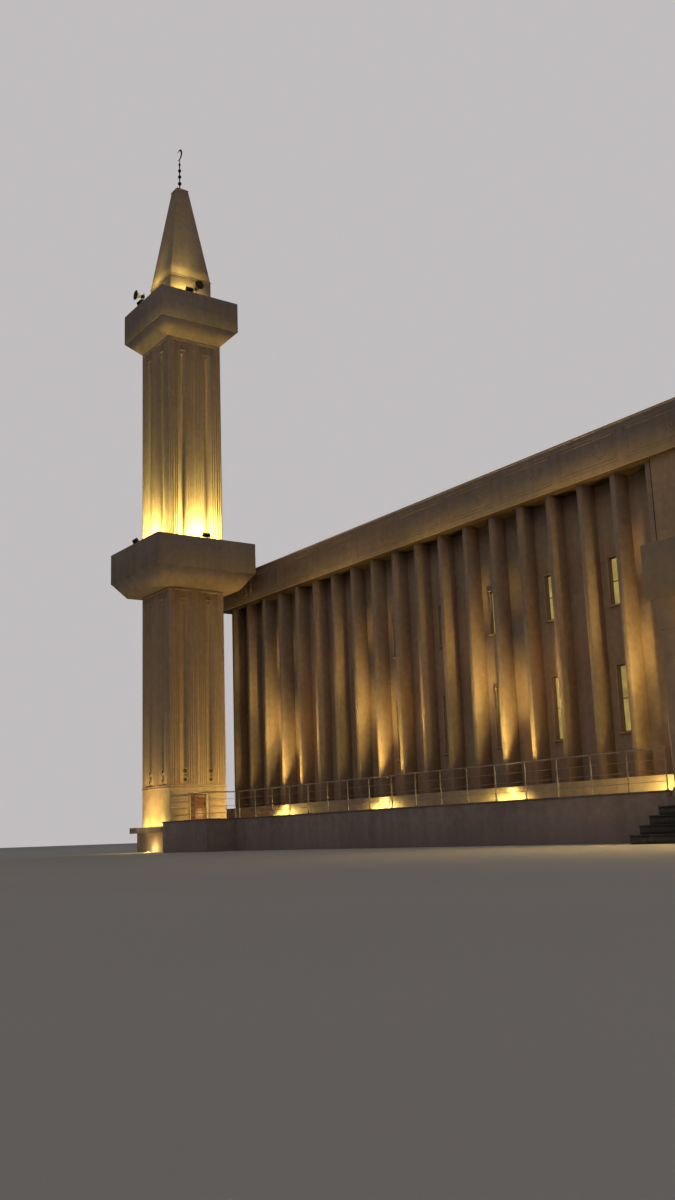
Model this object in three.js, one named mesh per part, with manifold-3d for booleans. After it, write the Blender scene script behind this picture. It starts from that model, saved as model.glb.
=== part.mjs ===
// A mosque with a ribbed prayer hall, a raised terrace and one square minaret, as a 1:2 scale model.
// Every length below is the real building's, in millimetres; the root group shrinks the whole to 1:2.
// X runs along the front from the hall's left corner, Y goes into the building and Z is up.
// The origin is on the ground, under the middle of the whole object's outline.

import * as THREE from 'three';
import { ConvexGeometry } from 'three/addons/geometries/ConvexGeometry.js';
import { mergeVertices } from 'three/addons/utils/BufferGeometryUtils.js';
import Module from 'manifold-3d';

const wasm = await Module();
wasm.setup();

// Driving dimensions
const MODEL_SCALE = 0.5;
const RIB_PITCH = 1200;
const WING_BAYS = 18;
const PORTAL_BAYS = 11;
const HALL_DEPTH_BAYS = 18;
const BACK_JOINT_BAY = 23.5;
const WALL_THICKNESS = 300;

// Levels above the ground
const TERRACE_FLOOR = 900;
const TERRACE_WALL_TOP = 1000;
const PLINTH_TOP = 1540;
const RIB_TOP = 9590;
const BAND_TOP = 10860;

// Ribs, band and plinth, from the plane of the rib noses
const RIB_WIDTH = 0.14 * RIB_PITCH;
const RIB_DEPTH = 0.45 * RIB_PITCH;
const BAND_OVERHANG = 0.18 * RIB_PITCH;
const PLINTH_PROJECTION = 0.35 * RIB_PITCH;
const SLAB_THICKNESS = 200;
const ROOF_THICKNESS = 300;
const FLOOR_THICKNESS = 300;
const OVERLAP = 10;

// Slit windows, one above the other in every second bay
const WINDOW_WIDTH = 0.4 * RIB_PITCH;
const WINDOW_ROWS = [
  { storey: 'lower', sill: 2770, head: 4560 },
  { storey: 'upper', sill: 6180, head: 7500 },
];
const GLASS_THICKNESS = 20;
const GLASS_LAP = 60;

// Hall, worked out from the bays
const HALL_LEFT = -RIB_WIDTH / 2;
const WING_LENGTH = WING_BAYS * RIB_PITCH;
const HALL_LENGTH = (2 * WING_BAYS + PORTAL_BAYS) * RIB_PITCH;
const HALL_RIGHT = HALL_LENGTH + RIB_WIDTH / 2;
const HALL_DEPTH = HALL_DEPTH_BAYS * RIB_PITCH;
const HALL_MIDDLE = HALL_LENGTH / 2;
const WALL_INNER = RIB_DEPTH + WALL_THICKNESS;
const END_REACH = RIB_DEPTH + BAND_OVERHANG;

// Terrace and steps
const TERRACE_FRONT = -3.4 * RIB_PITCH;
const TERRACE_END = 0.9 * RIB_PITCH;
const TERRACE_WALL = 200;
const DECK_THICKNESS = 200;
const DECK_OVERHANG = 220;
const STEP_COUNT = 5;
const STEP_TREAD = 310;

// Entrance under its canopy
const CANOPY_LENGTH = 6 * RIB_PITCH;
const CANOPY_FRONT = -3.5 * RIB_PITCH;
const CANOPY_BOTTOM = 4920;
const CANOPY_TOP = 6120;
const CANOPY_WALL = 200;
const PORTAL_LEFT = HALL_MIDDLE - CANOPY_LENGTH / 2;
const PORTAL_RIGHT = HALL_MIDDLE + CANOPY_LENGTH / 2;
const COLUMN_RADIUS = 300;
const COLUMN_INSET = 0.3 * RIB_PITCH;
const COLUMN_Y = -3.15 * RIB_PITCH;
const ENTRANCE_WIDTH = 2600;
const ENTRANCE_HEAD = 3900;
const ENTRANCE_FRAME = 80;
const ENTRANCE_FRAME_DEPTH = 120;
const ENTRANCE_LEAF_THICKNESS = 60;

// Platform that steps forward from the terrace beside the minaret
const PLATFORM = {
  left: 3.3 * RIB_PITCH, right: 5.94 * RIB_PITCH, front: -4.29 * RIB_PITCH, wall: 300, railInset: 200,
};

// Railing on the terrace wall
const RAIL_TOP = 1910;
const RAIL_THICKNESS = 50;
const RAIL_WIRE = 16;
const RAIL_WIRES = 3;
const RAIL_POST = 40;
const RAIL_POST_PITCH = 0.8516 * RIB_PITCH;
const RAIL_BAYS = 17;
const RAIL_BAYS_RIGHT = 22;

// Minaret
const MINARET_X = 0.45 * RIB_PITCH;
const MINARET_Y = -2.14 * RIB_PITCH;
const SHAFT_SIDE = 2350;
const SHAFT_WALL = 250;
const BASE_TOP = 2330;
const SHAFT_TOP = 9880;
const UPPER_SHAFT_TOP = 20160;
const PANEL_WIDTH = 0.25 * SHAFT_SIDE;
const PANEL_DEPTH = 25;
const PANEL_MARGIN = 220;

const LOWER_GALLERY = {
  side: 4236, bottom: SHAFT_TOP, bottomSide: 3264, fasciaBottom: 10490, top: 11710, wall: 180,
};
const UPPER_GALLERY = {
  side: 3468, bottom: UPPER_SHAFT_TOP, bottomSide: SHAFT_SIDE, fasciaBottom: 20720, top: 21990, wall: 160,
};
const GALLERY_FLOOR = 200;

const DRUM_SIDE = 1848;
const DRUM_TOP = 23050;
const SPIRE_TOP = 27400;
const SPIRE_TOP_SIDE = 530;
const CAP_TOP = 27610;
const SPIRE_WALL = 120;

const FINIAL_ROD = 22;
const FINIAL_BEADS = [
  { height: 27840, radius: 80 },
  { height: 28160, radius: 72 },
  { height: 28450, radius: 72 },
  { height: 28740, radius: 50 },
];
const CRESCENT_HEIGHT = 29200;
const CRESCENT_RADIUS = 240;
const CRESCENT_THICKNESS = 50;

// Minaret door, in the face toward the entrance
const DOOR_WIDTH = 640;
const DOOR_GAP = 12;
const DOOR_BOTTOM = 930;
const DOOR_TOP = 2050;
const DOOR_THICKNESS = 50;
const DOOR_SETBACK = 840;
const DOOR_FRAME = 60;
const DOOR_PIVOT = 40;
const PIVOT_GAP = 0.6;

// Lamps and loudspeakers
const FLOODLIGHT = { width: 320, depth: 140, height: 220 };
const UPLIGHT = { width: 320, depth: 160, height: 110, gap: 153 };
const UPLIGHT_PLACES = [3.6 * RIB_PITCH, 8.6 * RIB_PITCH, 13.6 * RIB_PITCH];
const HORN_RADIUS = 200;
const HORN_LENGTH = 380;

// Materials, one for each finish
const render = (color) => new THREE.MeshStandardMaterial({ color, roughness: 0.9, metalness: 0 });
const SANDSTONE = render(0xb79b78);
const FASCIA = render(0xa48c70);
const TERRACE_RENDER = render(0x8c7a66);
const CONCRETE = render(0x9a9184);
const STEP_STONE = new THREE.MeshStandardMaterial({ color: 0x3a332e, roughness: 0.5, metalness: 0 });
const RAIL_METAL = new THREE.MeshStandardMaterial({ color: 0x9d968c, roughness: 0.35, metalness: 0.9 });
const DARK_METAL = new THREE.MeshStandardMaterial({ color: 0x2b2725, roughness: 0.5, metalness: 0.8 });
const HORN_PAINT = new THREE.MeshStandardMaterial({ color: 0xb9b3a8, roughness: 0.5, metalness: 0.2 });
const DOOR_WOOD = new THREE.MeshStandardMaterial({ color: 0x9a5a2c, roughness: 0.6, metalness: 0 });
const FRAME_PAINT = new THREE.MeshStandardMaterial({ color: 0xd8c8a4, roughness: 0.6, metalness: 0 });
const GLASS = new THREE.MeshStandardMaterial({ color: 0x6f7f86, roughness: 0.08, metalness: 0 });

// Solid helpers
function box(x, y, z) {
  const geometry = new THREE.BoxGeometry(x[1] - x[0], y[1] - y[0], z[1] - z[0]);
  return geometry.translate((x[0] + x[1]) / 2, (y[0] + y[1]) / 2, (z[0] + z[1]) / 2);
}

function toManifold(geometry) {
  const bare = new THREE.BufferGeometry();
  bare.setAttribute('position', geometry.attributes.position);
  if (geometry.index) bare.setIndex(geometry.index);
  const merged = mergeVertices(bare, 0.001);
  const mesh = new wasm.Mesh({
    numProp: 3,
    vertProperties: new Float32Array(merged.attributes.position.array),
    triVerts: new Uint32Array(merged.index.array),
  });
  return new wasm.Manifold(mesh);
}

function toGeometry(manifold) {
  const mesh = manifold.getMesh();
  const geometry = new THREE.BufferGeometry();
  geometry.setAttribute('position', new THREE.BufferAttribute(new Float32Array(mesh.vertProperties), 3));
  geometry.setIndex(new THREE.BufferAttribute(new Uint32Array(mesh.triVerts), 1));
  return geometry;
}

function build(solids, holes = []) {
  let result = toManifold(solids[0]);
  for (const solid of solids.slice(1)) result = result.add(toManifold(solid));
  for (const hole of holes) result = result.subtract(toManifold(hole));
  return toGeometry(result);
}

const building = new THREE.Group();
building.scale.setScalar(MODEL_SCALE);

function addPiece(name, geometry, material, parent = building) {
  const mesh = new THREE.Mesh(geometry, material);
  mesh.name = name;
  parent.add(mesh);
  return mesh;
}

// A wall in its own frame: x along it, y = 0 at the rib noses and growing inward, z up
function ribbedWall({ from, to, ribs, windowBays, plinthFrom, plinthTo }) {
  const solids = [
    box([from, to], [RIB_DEPTH, WALL_INNER], [0, RIB_TOP]),
    box([from, to], [RIB_DEPTH - OVERLAP, RIB_DEPTH + OVERLAP], [0, PLINTH_TOP]),
    box([plinthFrom, plinthTo], [-PLINTH_PROJECTION, RIB_DEPTH], [0, PLINTH_TOP]),
  ];
  for (const x of ribs) {
    const width = [x - RIB_WIDTH / 2, x + RIB_WIDTH / 2];
    solids.push(box(width, [0, RIB_DEPTH + OVERLAP], [PLINTH_TOP - OVERLAP, RIB_TOP]));
  }
  const holes = [];
  for (const x of windowBays) {
    for (const { sill, head } of WINDOW_ROWS) {
      const width = [x - WINDOW_WIDTH / 2, x + WINDOW_WIDTH / 2];
      holes.push(box(width, [RIB_DEPTH - 2 * OVERLAP, WALL_INNER + OVERLAP], [sill, head]));
    }
  }
  return build(solids, holes);
}

function glassSheet(windowBays, { sill, head }) {
  const first = windowBays[0] - WINDOW_WIDTH / 2 - GLASS_LAP;
  const last = windowBays[windowBays.length - 1] + WINDOW_WIDTH / 2 + GLASS_LAP;
  return box([first, last], [WALL_INNER, WALL_INNER + GLASS_THICKNESS], [sill - GLASS_LAP, head + GLASS_LAP]);
}

const every = (count, place) => Array.from({ length: count }, (_, index) => place(index));
const mirrored = (geometry) => {
  const flipped = toManifold(geometry).mirror([1, 0, 0]);
  return toGeometry(flipped).translate(2 * HALL_MIDDLE, 0, 0);
};

function addGlass(name, windowBays, group) {
  for (const row of WINDOW_ROWS) {
    addPiece(`${name}_glass_${row.storey}`, glassSheet(windowBays, row), GLASS, group);
  }
}

function placedGroup(placeInGroup) {
  const group = new THREE.Group();
  placeInGroup(group);
  building.add(group);
  return group;
}

function addWallWithGlass(name, wall, placeInGroup) {
  const group = placedGroup(placeInGroup);
  addPiece(name, ribbedWall(wall), SANDSTONE, group);
  addGlass(name, wall.windowBays, group);
}

function addHallWalls() {
  const wingWall = {
    from: HALL_LEFT,
    to: WING_LENGTH + RIB_WIDTH / 2,
    ribs: every(WING_BAYS + 1, (k) => k * RIB_PITCH),
    windowBays: every(WING_BAYS / 2, (k) => (2 * k + 0.5) * RIB_PITCH),
    plinthFrom: HALL_LEFT,
    plinthTo: WING_LENGTH + RIB_WIDTH / 2,
  };
  addWallWithGlass('front_wall_left', wingWall, () => {});

  const bays = HALL_LENGTH / RIB_PITCH;
  const rightWing = {
    ...wingWall,
    from: WING_LENGTH + PORTAL_BAYS * RIB_PITCH - RIB_WIDTH / 2,
    to: HALL_RIGHT,
    ribs: every(WING_BAYS + 1, (k) => HALL_LENGTH - k * RIB_PITCH),
    windowBays: every(WING_BAYS / 2, (k) => HALL_LENGTH - (WING_BAYS - 2 * k - 1.5) * RIB_PITCH),
    plinthFrom: WING_LENGTH + PORTAL_BAYS * RIB_PITCH - RIB_WIDTH / 2,
    plinthTo: HALL_RIGHT,
  };
  addWallWithGlass('front_wall_right', rightWing, () => {});

  // The back wall stands in two lengths that meet in a bay with no window, behind one sheet of glass a storey
  const backBays = every(Math.ceil(bays / 2), (k) => (2 * k + 0.5) * RIB_PITCH);
  const backRibs = every(bays + 1, (k) => k * RIB_PITCH);
  const backJoint = BACK_JOINT_BAY * RIB_PITCH;
  const behind = placedGroup((group) => {
    group.rotation.z = Math.PI;
    group.position.set(HALL_LENGTH, HALL_DEPTH, 0);
  });
  const backHalves = { back_wall_right: [HALL_LEFT, backJoint], back_wall_left: [backJoint, HALL_RIGHT] };
  for (const [name, [from, to]] of Object.entries(backHalves)) {
    const within = (x) => x > from && x < to;
    const ribs = backRibs.filter(within);
    const half = { from, to, ribs, windowBays: backBays.filter(within), plinthFrom: from, plinthTo: to };
    addPiece(name, ribbedWall(half), SANDSTONE, behind);
  }
  addGlass('back_wall', backBays, behind);

  const endWall = {
    from: -HALL_DEPTH + WALL_INNER,
    to: -WALL_INNER,
    ribs: every(HALL_DEPTH_BAYS - 1, (k) => -HALL_DEPTH + (k + 1) * RIB_PITCH),
    windowBays: every(HALL_DEPTH_BAYS / 2 - 1, (k) => -HALL_DEPTH + (2 * k + 2.5) * RIB_PITCH),
    plinthFrom: -HALL_DEPTH - PLINTH_PROJECTION,
    plinthTo: PLINTH_PROJECTION,
  };
  addWallWithGlass('left_end_wall', endWall, (group) => {
    group.rotation.z = -Math.PI / 2;
    group.position.set(HALL_LEFT - RIB_DEPTH, 0, 0);
  });
  const farEnd = {
    ...endWall,
    from: WALL_INNER,
    to: HALL_DEPTH - WALL_INNER,
    ribs: endWall.ribs.map((y) => y + HALL_DEPTH),
    windowBays: endWall.windowBays.map((y) => y + HALL_DEPTH),
    plinthFrom: -PLINTH_PROJECTION,
    plinthTo: HALL_DEPTH + PLINTH_PROJECTION,
  };
  addWallWithGlass('right_end_wall', farEnd, (group) => {
    group.rotation.z = Math.PI / 2;
    group.position.set(HALL_RIGHT + RIB_DEPTH, 0, 0);
  });
}

function addPortalWall() {
  const left = WING_LENGTH + RIB_WIDTH / 2;
  const right = HALL_LENGTH - left;
  const opening = [HALL_MIDDLE - ENTRANCE_WIDTH / 2, HALL_MIDDLE + ENTRANCE_WIDTH / 2];
  const depth = [0, WALL_THICKNESS];
  addPiece('portal_wall_left', box([left, opening[0]], depth, [0, ENTRANCE_HEAD]), SANDSTONE);
  addPiece('portal_wall_right', box([opening[1], right], depth, [0, ENTRANCE_HEAD]), SANDSTONE);
  addPiece('portal_wall_head', box([left, right], depth, [ENTRANCE_HEAD, RIB_TOP]), SANDSTONE);

  const clear = [opening[0] + ENTRANCE_FRAME, opening[1] - ENTRANCE_FRAME];
  const clearTop = ENTRANCE_HEAD - ENTRANCE_FRAME;
  const frame = build(
    [box(opening, [0, ENTRANCE_FRAME_DEPTH], [TERRACE_FLOOR, ENTRANCE_HEAD])],
    [box(clear, [-OVERLAP, ENTRANCE_FRAME_DEPTH + OVERLAP], [TERRACE_FLOOR - OVERLAP, clearTop])],
  );
  addPiece('entrance_door_frame', frame, FRAME_PAINT);

  // The two leaves stand open, square to the wall, behind the frame
  const leafWidth = (clear[1] - clear[0]) / 2;
  const leafY = [ENTRANCE_FRAME_DEPTH, ENTRANCE_FRAME_DEPTH + leafWidth];
  const leafZ = [TERRACE_FLOOR, clearTop];
  const leftX = [clear[0] - ENTRANCE_LEAF_THICKNESS, clear[0]];
  const rightX = [clear[1], clear[1] + ENTRANCE_LEAF_THICKNESS];
  addPiece('entrance_door_left', box(leftX, leafY, leafZ), DOOR_WOOD);
  addPiece('entrance_door_right', box(rightX, leafY, leafZ), DOOR_WOOD);
}

function addHallSlabs() {
  const inner = {
    x: [HALL_LEFT + WALL_THICKNESS, HALL_RIGHT - WALL_THICKNESS],
    y: [WALL_INNER, HALL_DEPTH - WALL_INNER],
  };
  const portalX = [WING_LENGTH + RIB_WIDTH / 2, HALL_LENGTH - WING_LENGTH - RIB_WIDTH / 2];
  const floorZ = [TERRACE_FLOOR - FLOOR_THICKNESS, TERRACE_FLOOR];
  const threshold = box(portalX, [WALL_THICKNESS, WALL_INNER + OVERLAP], floorZ);
  const floor = build([box(inner.x, inner.y, floorZ), threshold]);
  addPiece('hall_floor', floor, CONCRETE);

  const entranceX = [HALL_MIDDLE - ENTRANCE_WIDTH / 2, HALL_MIDDLE + ENTRANCE_WIDTH / 2];
  const frontWallGap = box(entranceX, [0, WALL_THICKNESS], [0, TERRACE_FLOOR]);
  addPiece('entrance_sill', frontWallGap, STEP_STONE);

  const roofZ = [RIB_TOP + SLAB_THICKNESS, RIB_TOP + SLAB_THICKNESS + ROOF_THICKNESS];
  const roof = box([HALL_LEFT, HALL_RIGHT], [RIB_DEPTH, HALL_DEPTH - RIB_DEPTH], roofZ);
  addPiece('roof_slab', roof, CONCRETE);

  const long = [HALL_LEFT - END_REACH, HALL_RIGHT + END_REACH];
  const slabZ = [RIB_TOP, RIB_TOP + SLAB_THICKNESS];
  const bandZ = [RIB_TOP, BAND_TOP];
  const front = build([
    box(long, [-BAND_OVERHANG, WALL_INNER], slabZ),
    box(long, [-BAND_OVERHANG, -BAND_OVERHANG + SLAB_THICKNESS], bandZ),
  ]);
  addPiece('parapet_front', front, FASCIA);
  const back = build([
    box(long, [HALL_DEPTH - WALL_INNER, HALL_DEPTH + BAND_OVERHANG], slabZ),
    box(long, [HALL_DEPTH + BAND_OVERHANG - SLAB_THICKNESS, HALL_DEPTH + BAND_OVERHANG], bandZ),
  ]);
  addPiece('parapet_back', back, FASCIA);
  const sideY = [WALL_INNER, HALL_DEPTH - WALL_INNER];
  const edgeY = [-BAND_OVERHANG + SLAB_THICKNESS, HALL_DEPTH + BAND_OVERHANG - SLAB_THICKNESS];
  const aboveSlab = [RIB_TOP + SLAB_THICKNESS, BAND_TOP];
  const leftBand = build([
    box([long[0], HALL_LEFT + WALL_THICKNESS], sideY, slabZ),
    box([long[0], long[0] + SLAB_THICKNESS], sideY, bandZ),
    box([long[0], long[0] + SLAB_THICKNESS], edgeY, aboveSlab),
  ]);
  addPiece('parapet_left', leftBand, FASCIA);
  addPiece('parapet_right', mirrored(leftBand), FASCIA);
}

function uplight(x) {
  const y = -PLINTH_PROJECTION - UPLIGHT.gap;
  const across = [x - UPLIGHT.width / 2, x + UPLIGHT.width / 2];
  return box(across, [y - UPLIGHT.depth, y], [TERRACE_FLOOR - OVERLAP, TERRACE_FLOOR + UPLIGHT.height]);
}

// Left of the platform the deck overhangs its wall, and right of it the wall stands up past the deck
function terraceFrontWithPlatform(left, back, deckZ) {
  const { left: start, right: end, front, wall } = PLATFORM;
  const wallFront = TERRACE_FRONT + DECK_OVERHANG;
  const wallLeft = left + DECK_OVERHANG;
  const joint = TERRACE_FRONT + TERRACE_WALL;
  return [
    box([wallLeft, start + OVERLAP], [wallFront, wallFront + TERRACE_WALL], [0, TERRACE_FLOOR - OVERLAP]),
    box([wallLeft, wallLeft + TERRACE_WALL], [wallFront, back], [0, TERRACE_FLOOR - OVERLAP]),
    box([start, end], [front, front + wall], [0, TERRACE_WALL_TOP]),
    box([start, start + wall], [front, joint], [0, TERRACE_WALL_TOP]),
    box([end - wall, end], [front, joint], [0, TERRACE_WALL_TOP]),
    box([start + OVERLAP, end - OVERLAP], [front + OVERLAP, joint], deckZ),
    box([end - OVERLAP, PORTAL_LEFT], [TERRACE_FRONT, joint], [0, TERRACE_WALL_TOP]),
  ];
}

function terraceSide(withMinaret) {
  const left = -TERRACE_END;
  const back = -PLINTH_PROJECTION;
  const deckZ = [TERRACE_FLOOR - DECK_THICKNESS, TERRACE_FLOOR];
  const backX = WING_LENGTH + RIB_WIDTH / 2;
  const solids = [
    box([left, PORTAL_LEFT], [TERRACE_FRONT + OVERLAP, back], deckZ),
    box([backX, PORTAL_LEFT], [back - OVERLAP, 0], deckZ),
  ];
  if (withMinaret) {
    solids.push(...terraceFrontWithPlatform(left, back, deckZ));
  } else {
    const wallZ = [0, TERRACE_WALL_TOP];
    solids.push(box([left, PORTAL_LEFT], [TERRACE_FRONT, TERRACE_FRONT + TERRACE_WALL], wallZ));
    solids.push(box([left, left + TERRACE_WALL], [TERRACE_FRONT, back], wallZ));
  }
  solids.push(...UPLIGHT_PLACES.map(uplight));
  const holes = [];
  if (withMinaret) {
    const half = SHAFT_SIDE / 2;
    const across = [MINARET_X - half, MINARET_X + half];
    holes.push(box(across, [MINARET_Y - half, MINARET_Y + half], [-OVERLAP, BAND_TOP]));
  }
  return build(solids, holes);
}

// One straight run of railing along X, from its first post's middle, on the line y = 0
function railRun(start, pitch, bays) {
  const end = start + bays * pitch;
  const half = RAIL_POST / 2;
  const thick = RAIL_THICKNESS / 2;
  const thin = RAIL_WIRE / 2;
  const solids = [box([start - half, end + half], [-thick, thick], [RAIL_TOP - RAIL_THICKNESS, RAIL_TOP])];
  const spacing = (RAIL_TOP - thick - TERRACE_WALL_TOP) / (RAIL_WIRES + 1);
  for (let wire = 1; wire <= RAIL_WIRES; wire += 1) {
    const z = TERRACE_WALL_TOP + wire * spacing;
    solids.push(box([start, end], [-thin, thin], [z - thin, z + thin]));
  }
  for (let post = 0; post <= bays; post += 1) {
    const x = start + post * pitch;
    solids.push(box([x - half, x + half], [-half, half], [TERRACE_WALL_TOP, RAIL_TOP - thick]));
  }
  return solids;
}

function railing(bays) {
  const start = PORTAL_LEFT - RAIL_POST - bays * RAIL_POST_PITCH;
  return build(railRun(start, RAIL_POST_PITCH, bays)).translate(0, TERRACE_FRONT + TERRACE_WALL / 2, 0);
}

function platformRailing() {
  const x = [PLATFORM.left + PLATFORM.railInset, PLATFORM.right - PLATFORM.railInset];
  const y = [PLATFORM.front + PLATFORM.railInset, TERRACE_FRONT + TERRACE_WALL / 2];
  const solids = railRun(x[0], (x[1] - x[0]) / 2, 2).map((solid) => solid.translate(0, y[0], 0));
  for (const side of x) {
    const run = railRun(y[0], y[1] - y[0], 1);
    solids.push(...run.map((solid) => solid.rotateZ(Math.PI / 2).translate(side, 0, 0)));
  }
  return build(solids);
}

function addTerrace() {
  addPiece('terrace_left', terraceSide(true), TERRACE_RENDER);
  addPiece('terrace_right', mirrored(terraceSide(false)), TERRACE_RENDER);
  addPiece('railing_left', railing(RAIL_BAYS), RAIL_METAL);
  addPiece('railing_platform', platformRailing(), RAIL_METAL);
  addPiece('railing_right', mirrored(railing(RAIL_BAYS_RIGHT)), RAIL_METAL);

  const landingX = [PORTAL_LEFT, PORTAL_RIGHT];
  const landing = build([
    box(landingX, [TERRACE_FRONT, TERRACE_FRONT + TERRACE_WALL], [0, TERRACE_FLOOR]),
    box(landingX, [TERRACE_FRONT + OVERLAP, 0], [TERRACE_FLOOR - DECK_THICKNESS, TERRACE_FLOOR]),
  ]);
  addPiece('entrance_landing', landing, TERRACE_RENDER);
  const riser = TERRACE_FLOOR / STEP_COUNT;
  const treads = every(STEP_COUNT - 1, (k) => box(
    landingX, [TERRACE_FRONT - (k + 1) * STEP_TREAD, TERRACE_FRONT], [0, TERRACE_FLOOR - (k + 1) * riser],
  ));
  addPiece('entrance_steps', build(treads), STEP_STONE);
}

function column() {
  const height = CANOPY_BOTTOM - TERRACE_FLOOR;
  const profile = [
    [0, 0], [1.2, 0], [1.2, 150], [1, 190], [1, height - 620], [1.08, height - 430],
    [1.3, height - 130], [1.42, height - 60], [1.42, height], [0, height],
  ];
  const points = profile.map(([share, z]) => new THREE.Vector2(share * COLUMN_RADIUS, z));
  return new THREE.LatheGeometry(points, 24).rotateX(Math.PI / 2);
}

function addCanopy() {
  const across = [PORTAL_LEFT, PORTAL_RIGHT];
  const pocket = box(
    [across[0] + CANOPY_WALL, across[1] - CANOPY_WALL], [CANOPY_FRONT + CANOPY_WALL, -CANOPY_WALL],
    [CANOPY_BOTTOM + CANOPY_WALL, CANOPY_TOP + OVERLAP],
  );
  addPiece('canopy', build([box(across, [CANOPY_FRONT, 0], [CANOPY_BOTTOM, CANOPY_TOP])], [pocket]), FASCIA);
  const places = { column_left: PORTAL_LEFT + COLUMN_INSET, column_right: PORTAL_RIGHT - COLUMN_INSET };
  for (const [name, x] of Object.entries(places)) {
    addPiece(name, column(), SANDSTONE).position.set(x, COLUMN_Y, TERRACE_FLOOR);
  }
}

// Minaret pieces, in a frame with its origin on the ground under the minaret's middle
const minaret = new THREE.Group();
minaret.position.set(MINARET_X, MINARET_Y, 0);
building.add(minaret);

const square = (side) => [-side / 2, side / 2];
const SHAFT_BORE = SHAFT_SIDE - 2 * SHAFT_WALL;
const bore = (bottom, top, side = SHAFT_BORE) => box(square(side), square(side), [bottom, top]);

function addMinaretBase() {
  const half = SHAFT_SIDE / 2;
  const inner = half - SHAFT_WALL;
  const wallZ = [TERRACE_FLOOR, BASE_TOP];
  const pedestal = box(square(SHAFT_SIDE), square(SHAFT_SIDE), [0, TERRACE_FLOOR]);
  addPiece('minaret_pedestal', pedestal, SANDSTONE, minaret);
  addPiece('minaret_base_front', box([-half, half], [-half, -inner], wallZ), SANDSTONE, minaret);
  addPiece('minaret_base_back', box([-half, half], [inner, half], wallZ), SANDSTONE, minaret);
  addPiece('minaret_base_left', box([-half, -inner], [-inner, inner], wallZ), SANDSTONE, minaret);

  const jambs = doorOpening();
  addPiece('minaret_base_beside_hinge', box([inner, half], [-inner, jambs.y[0]], wallZ), SANDSTONE, minaret);
  addPiece('minaret_base_beside_latch', box([inner, half], [jambs.y[1], inner], wallZ), SANDSTONE, minaret);
  addPiece('minaret_base_over_door', box([inner, half], jambs.y, [jambs.top, BASE_TOP]), SANDSTONE, minaret);
}

function doorOpening() {
  const hinge = -SHAFT_SIDE / 2 + DOOR_SETBACK;
  const clear = [hinge - DOOR_GAP, hinge + DOOR_WIDTH + DOOR_GAP];
  return {
    clear,
    y: [clear[0] - DOOR_FRAME, clear[1] + DOOR_FRAME],
    clearTop: DOOR_TOP + DOOR_GAP,
    top: DOOR_TOP + DOOR_GAP + DOOR_FRAME,
  };
}

function addMinaretDoor() {
  const face = SHAFT_SIDE / 2;
  const opening = doorOpening();
  const surround = build(
    [box([face - 90, face + 20], opening.y, [TERRACE_FLOOR, opening.top])],
    [box([face - 100, face + 30], opening.clear, [TERRACE_FLOOR - OVERLAP, opening.clearTop])],
  );
  const hinge = opening.clear[0] + DOOR_GAP;
  const pivot = { x: [face - DOOR_PIVOT, face], y: [opening.clear[0] - OVERLAP, hinge + DOOR_PIVOT] };
  const frame = build([
    surround,
    box(pivot.x, pivot.y, [TERRACE_FLOOR, DOOR_BOTTOM - PIVOT_GAP]),
    box(pivot.x, pivot.y, [DOOR_TOP + PIVOT_GAP, opening.clearTop + OVERLAP]),
  ]);
  addPiece('minaret_door_frame', frame, FRAME_PAINT, minaret);
  const leaf = box([face - DOOR_THICKNESS, face], [hinge, hinge + DOOR_WIDTH], [DOOR_BOTTOM, DOOR_TOP]);
  addPiece('minaret_door', leaf, DOOR_WOOD, minaret);
}

function shaft(bottom, top) {
  const holes = [bore(bottom - OVERLAP, top + OVERLAP)];
  const face = SHAFT_SIDE / 2;
  const z = [bottom + PANEL_MARGIN, top - PANEL_MARGIN];
  for (const offset of [-SHAFT_SIDE / 4, SHAFT_SIDE / 4]) {
    const across = [offset - PANEL_WIDTH / 2, offset + PANEL_WIDTH / 2];
    for (const side of [[face - PANEL_DEPTH, face + OVERLAP], [-face - OVERLAP, -face + PANEL_DEPTH]]) {
      holes.push(box(side, across, z), box(across, side, z));
    }
  }
  return build([box(square(SHAFT_SIDE), square(SHAFT_SIDE), [bottom, top])], holes);
}

function floodlight(side, shift) {
  const y = side / 2 - FLOODLIGHT.depth / 2;
  const across = [shift - FLOODLIGHT.width / 2, shift + FLOODLIGHT.width / 2];
  return box(across, [y - FLOODLIGHT.depth / 2, y + FLOODLIGHT.depth / 2], [-OVERLAP, FLOODLIGHT.height]);
}

// A tray on a corbel that widens from the shaft's square to the tray's
function gallery(form, lampShift) {
  const { side, bottom, bottomSide, fasciaBottom, top, wall } = form;
  const corbel = pyramid(bottomSide, side, bottom, fasciaBottom + OVERLAP);
  const solids = [corbel, box(square(side), square(side), [fasciaBottom, top])];
  for (let quarter = 0; quarter < 4; quarter += 1) {
    solids.push(floodlight(side, lampShift).translate(0, 0, top).rotateZ(quarter * Math.PI / 2));
  }
  const inside = side - 2 * wall;
  const walk = box(square(inside), square(inside), [fasciaBottom + GALLERY_FLOOR, top + OVERLAP]);
  return build(solids, [walk, bore(bottom - OVERLAP, top)]);
}

function addShaftsAndGalleries() {
  addPiece('minaret_shaft_lower', shaft(BASE_TOP, SHAFT_TOP), SANDSTONE, minaret);
  addPiece('lower_gallery', gallery(LOWER_GALLERY, 0), FASCIA, minaret);
  const lowerFloor = LOWER_GALLERY.fasciaBottom + GALLERY_FLOOR;
  addPiece('minaret_shaft_upper', shaft(lowerFloor, UPPER_SHAFT_TOP), SANDSTONE, minaret);
  addPiece('upper_gallery', gallery(UPPER_GALLERY, 0.25 * UPPER_GALLERY.side / 2), FASCIA, minaret);
}

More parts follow.
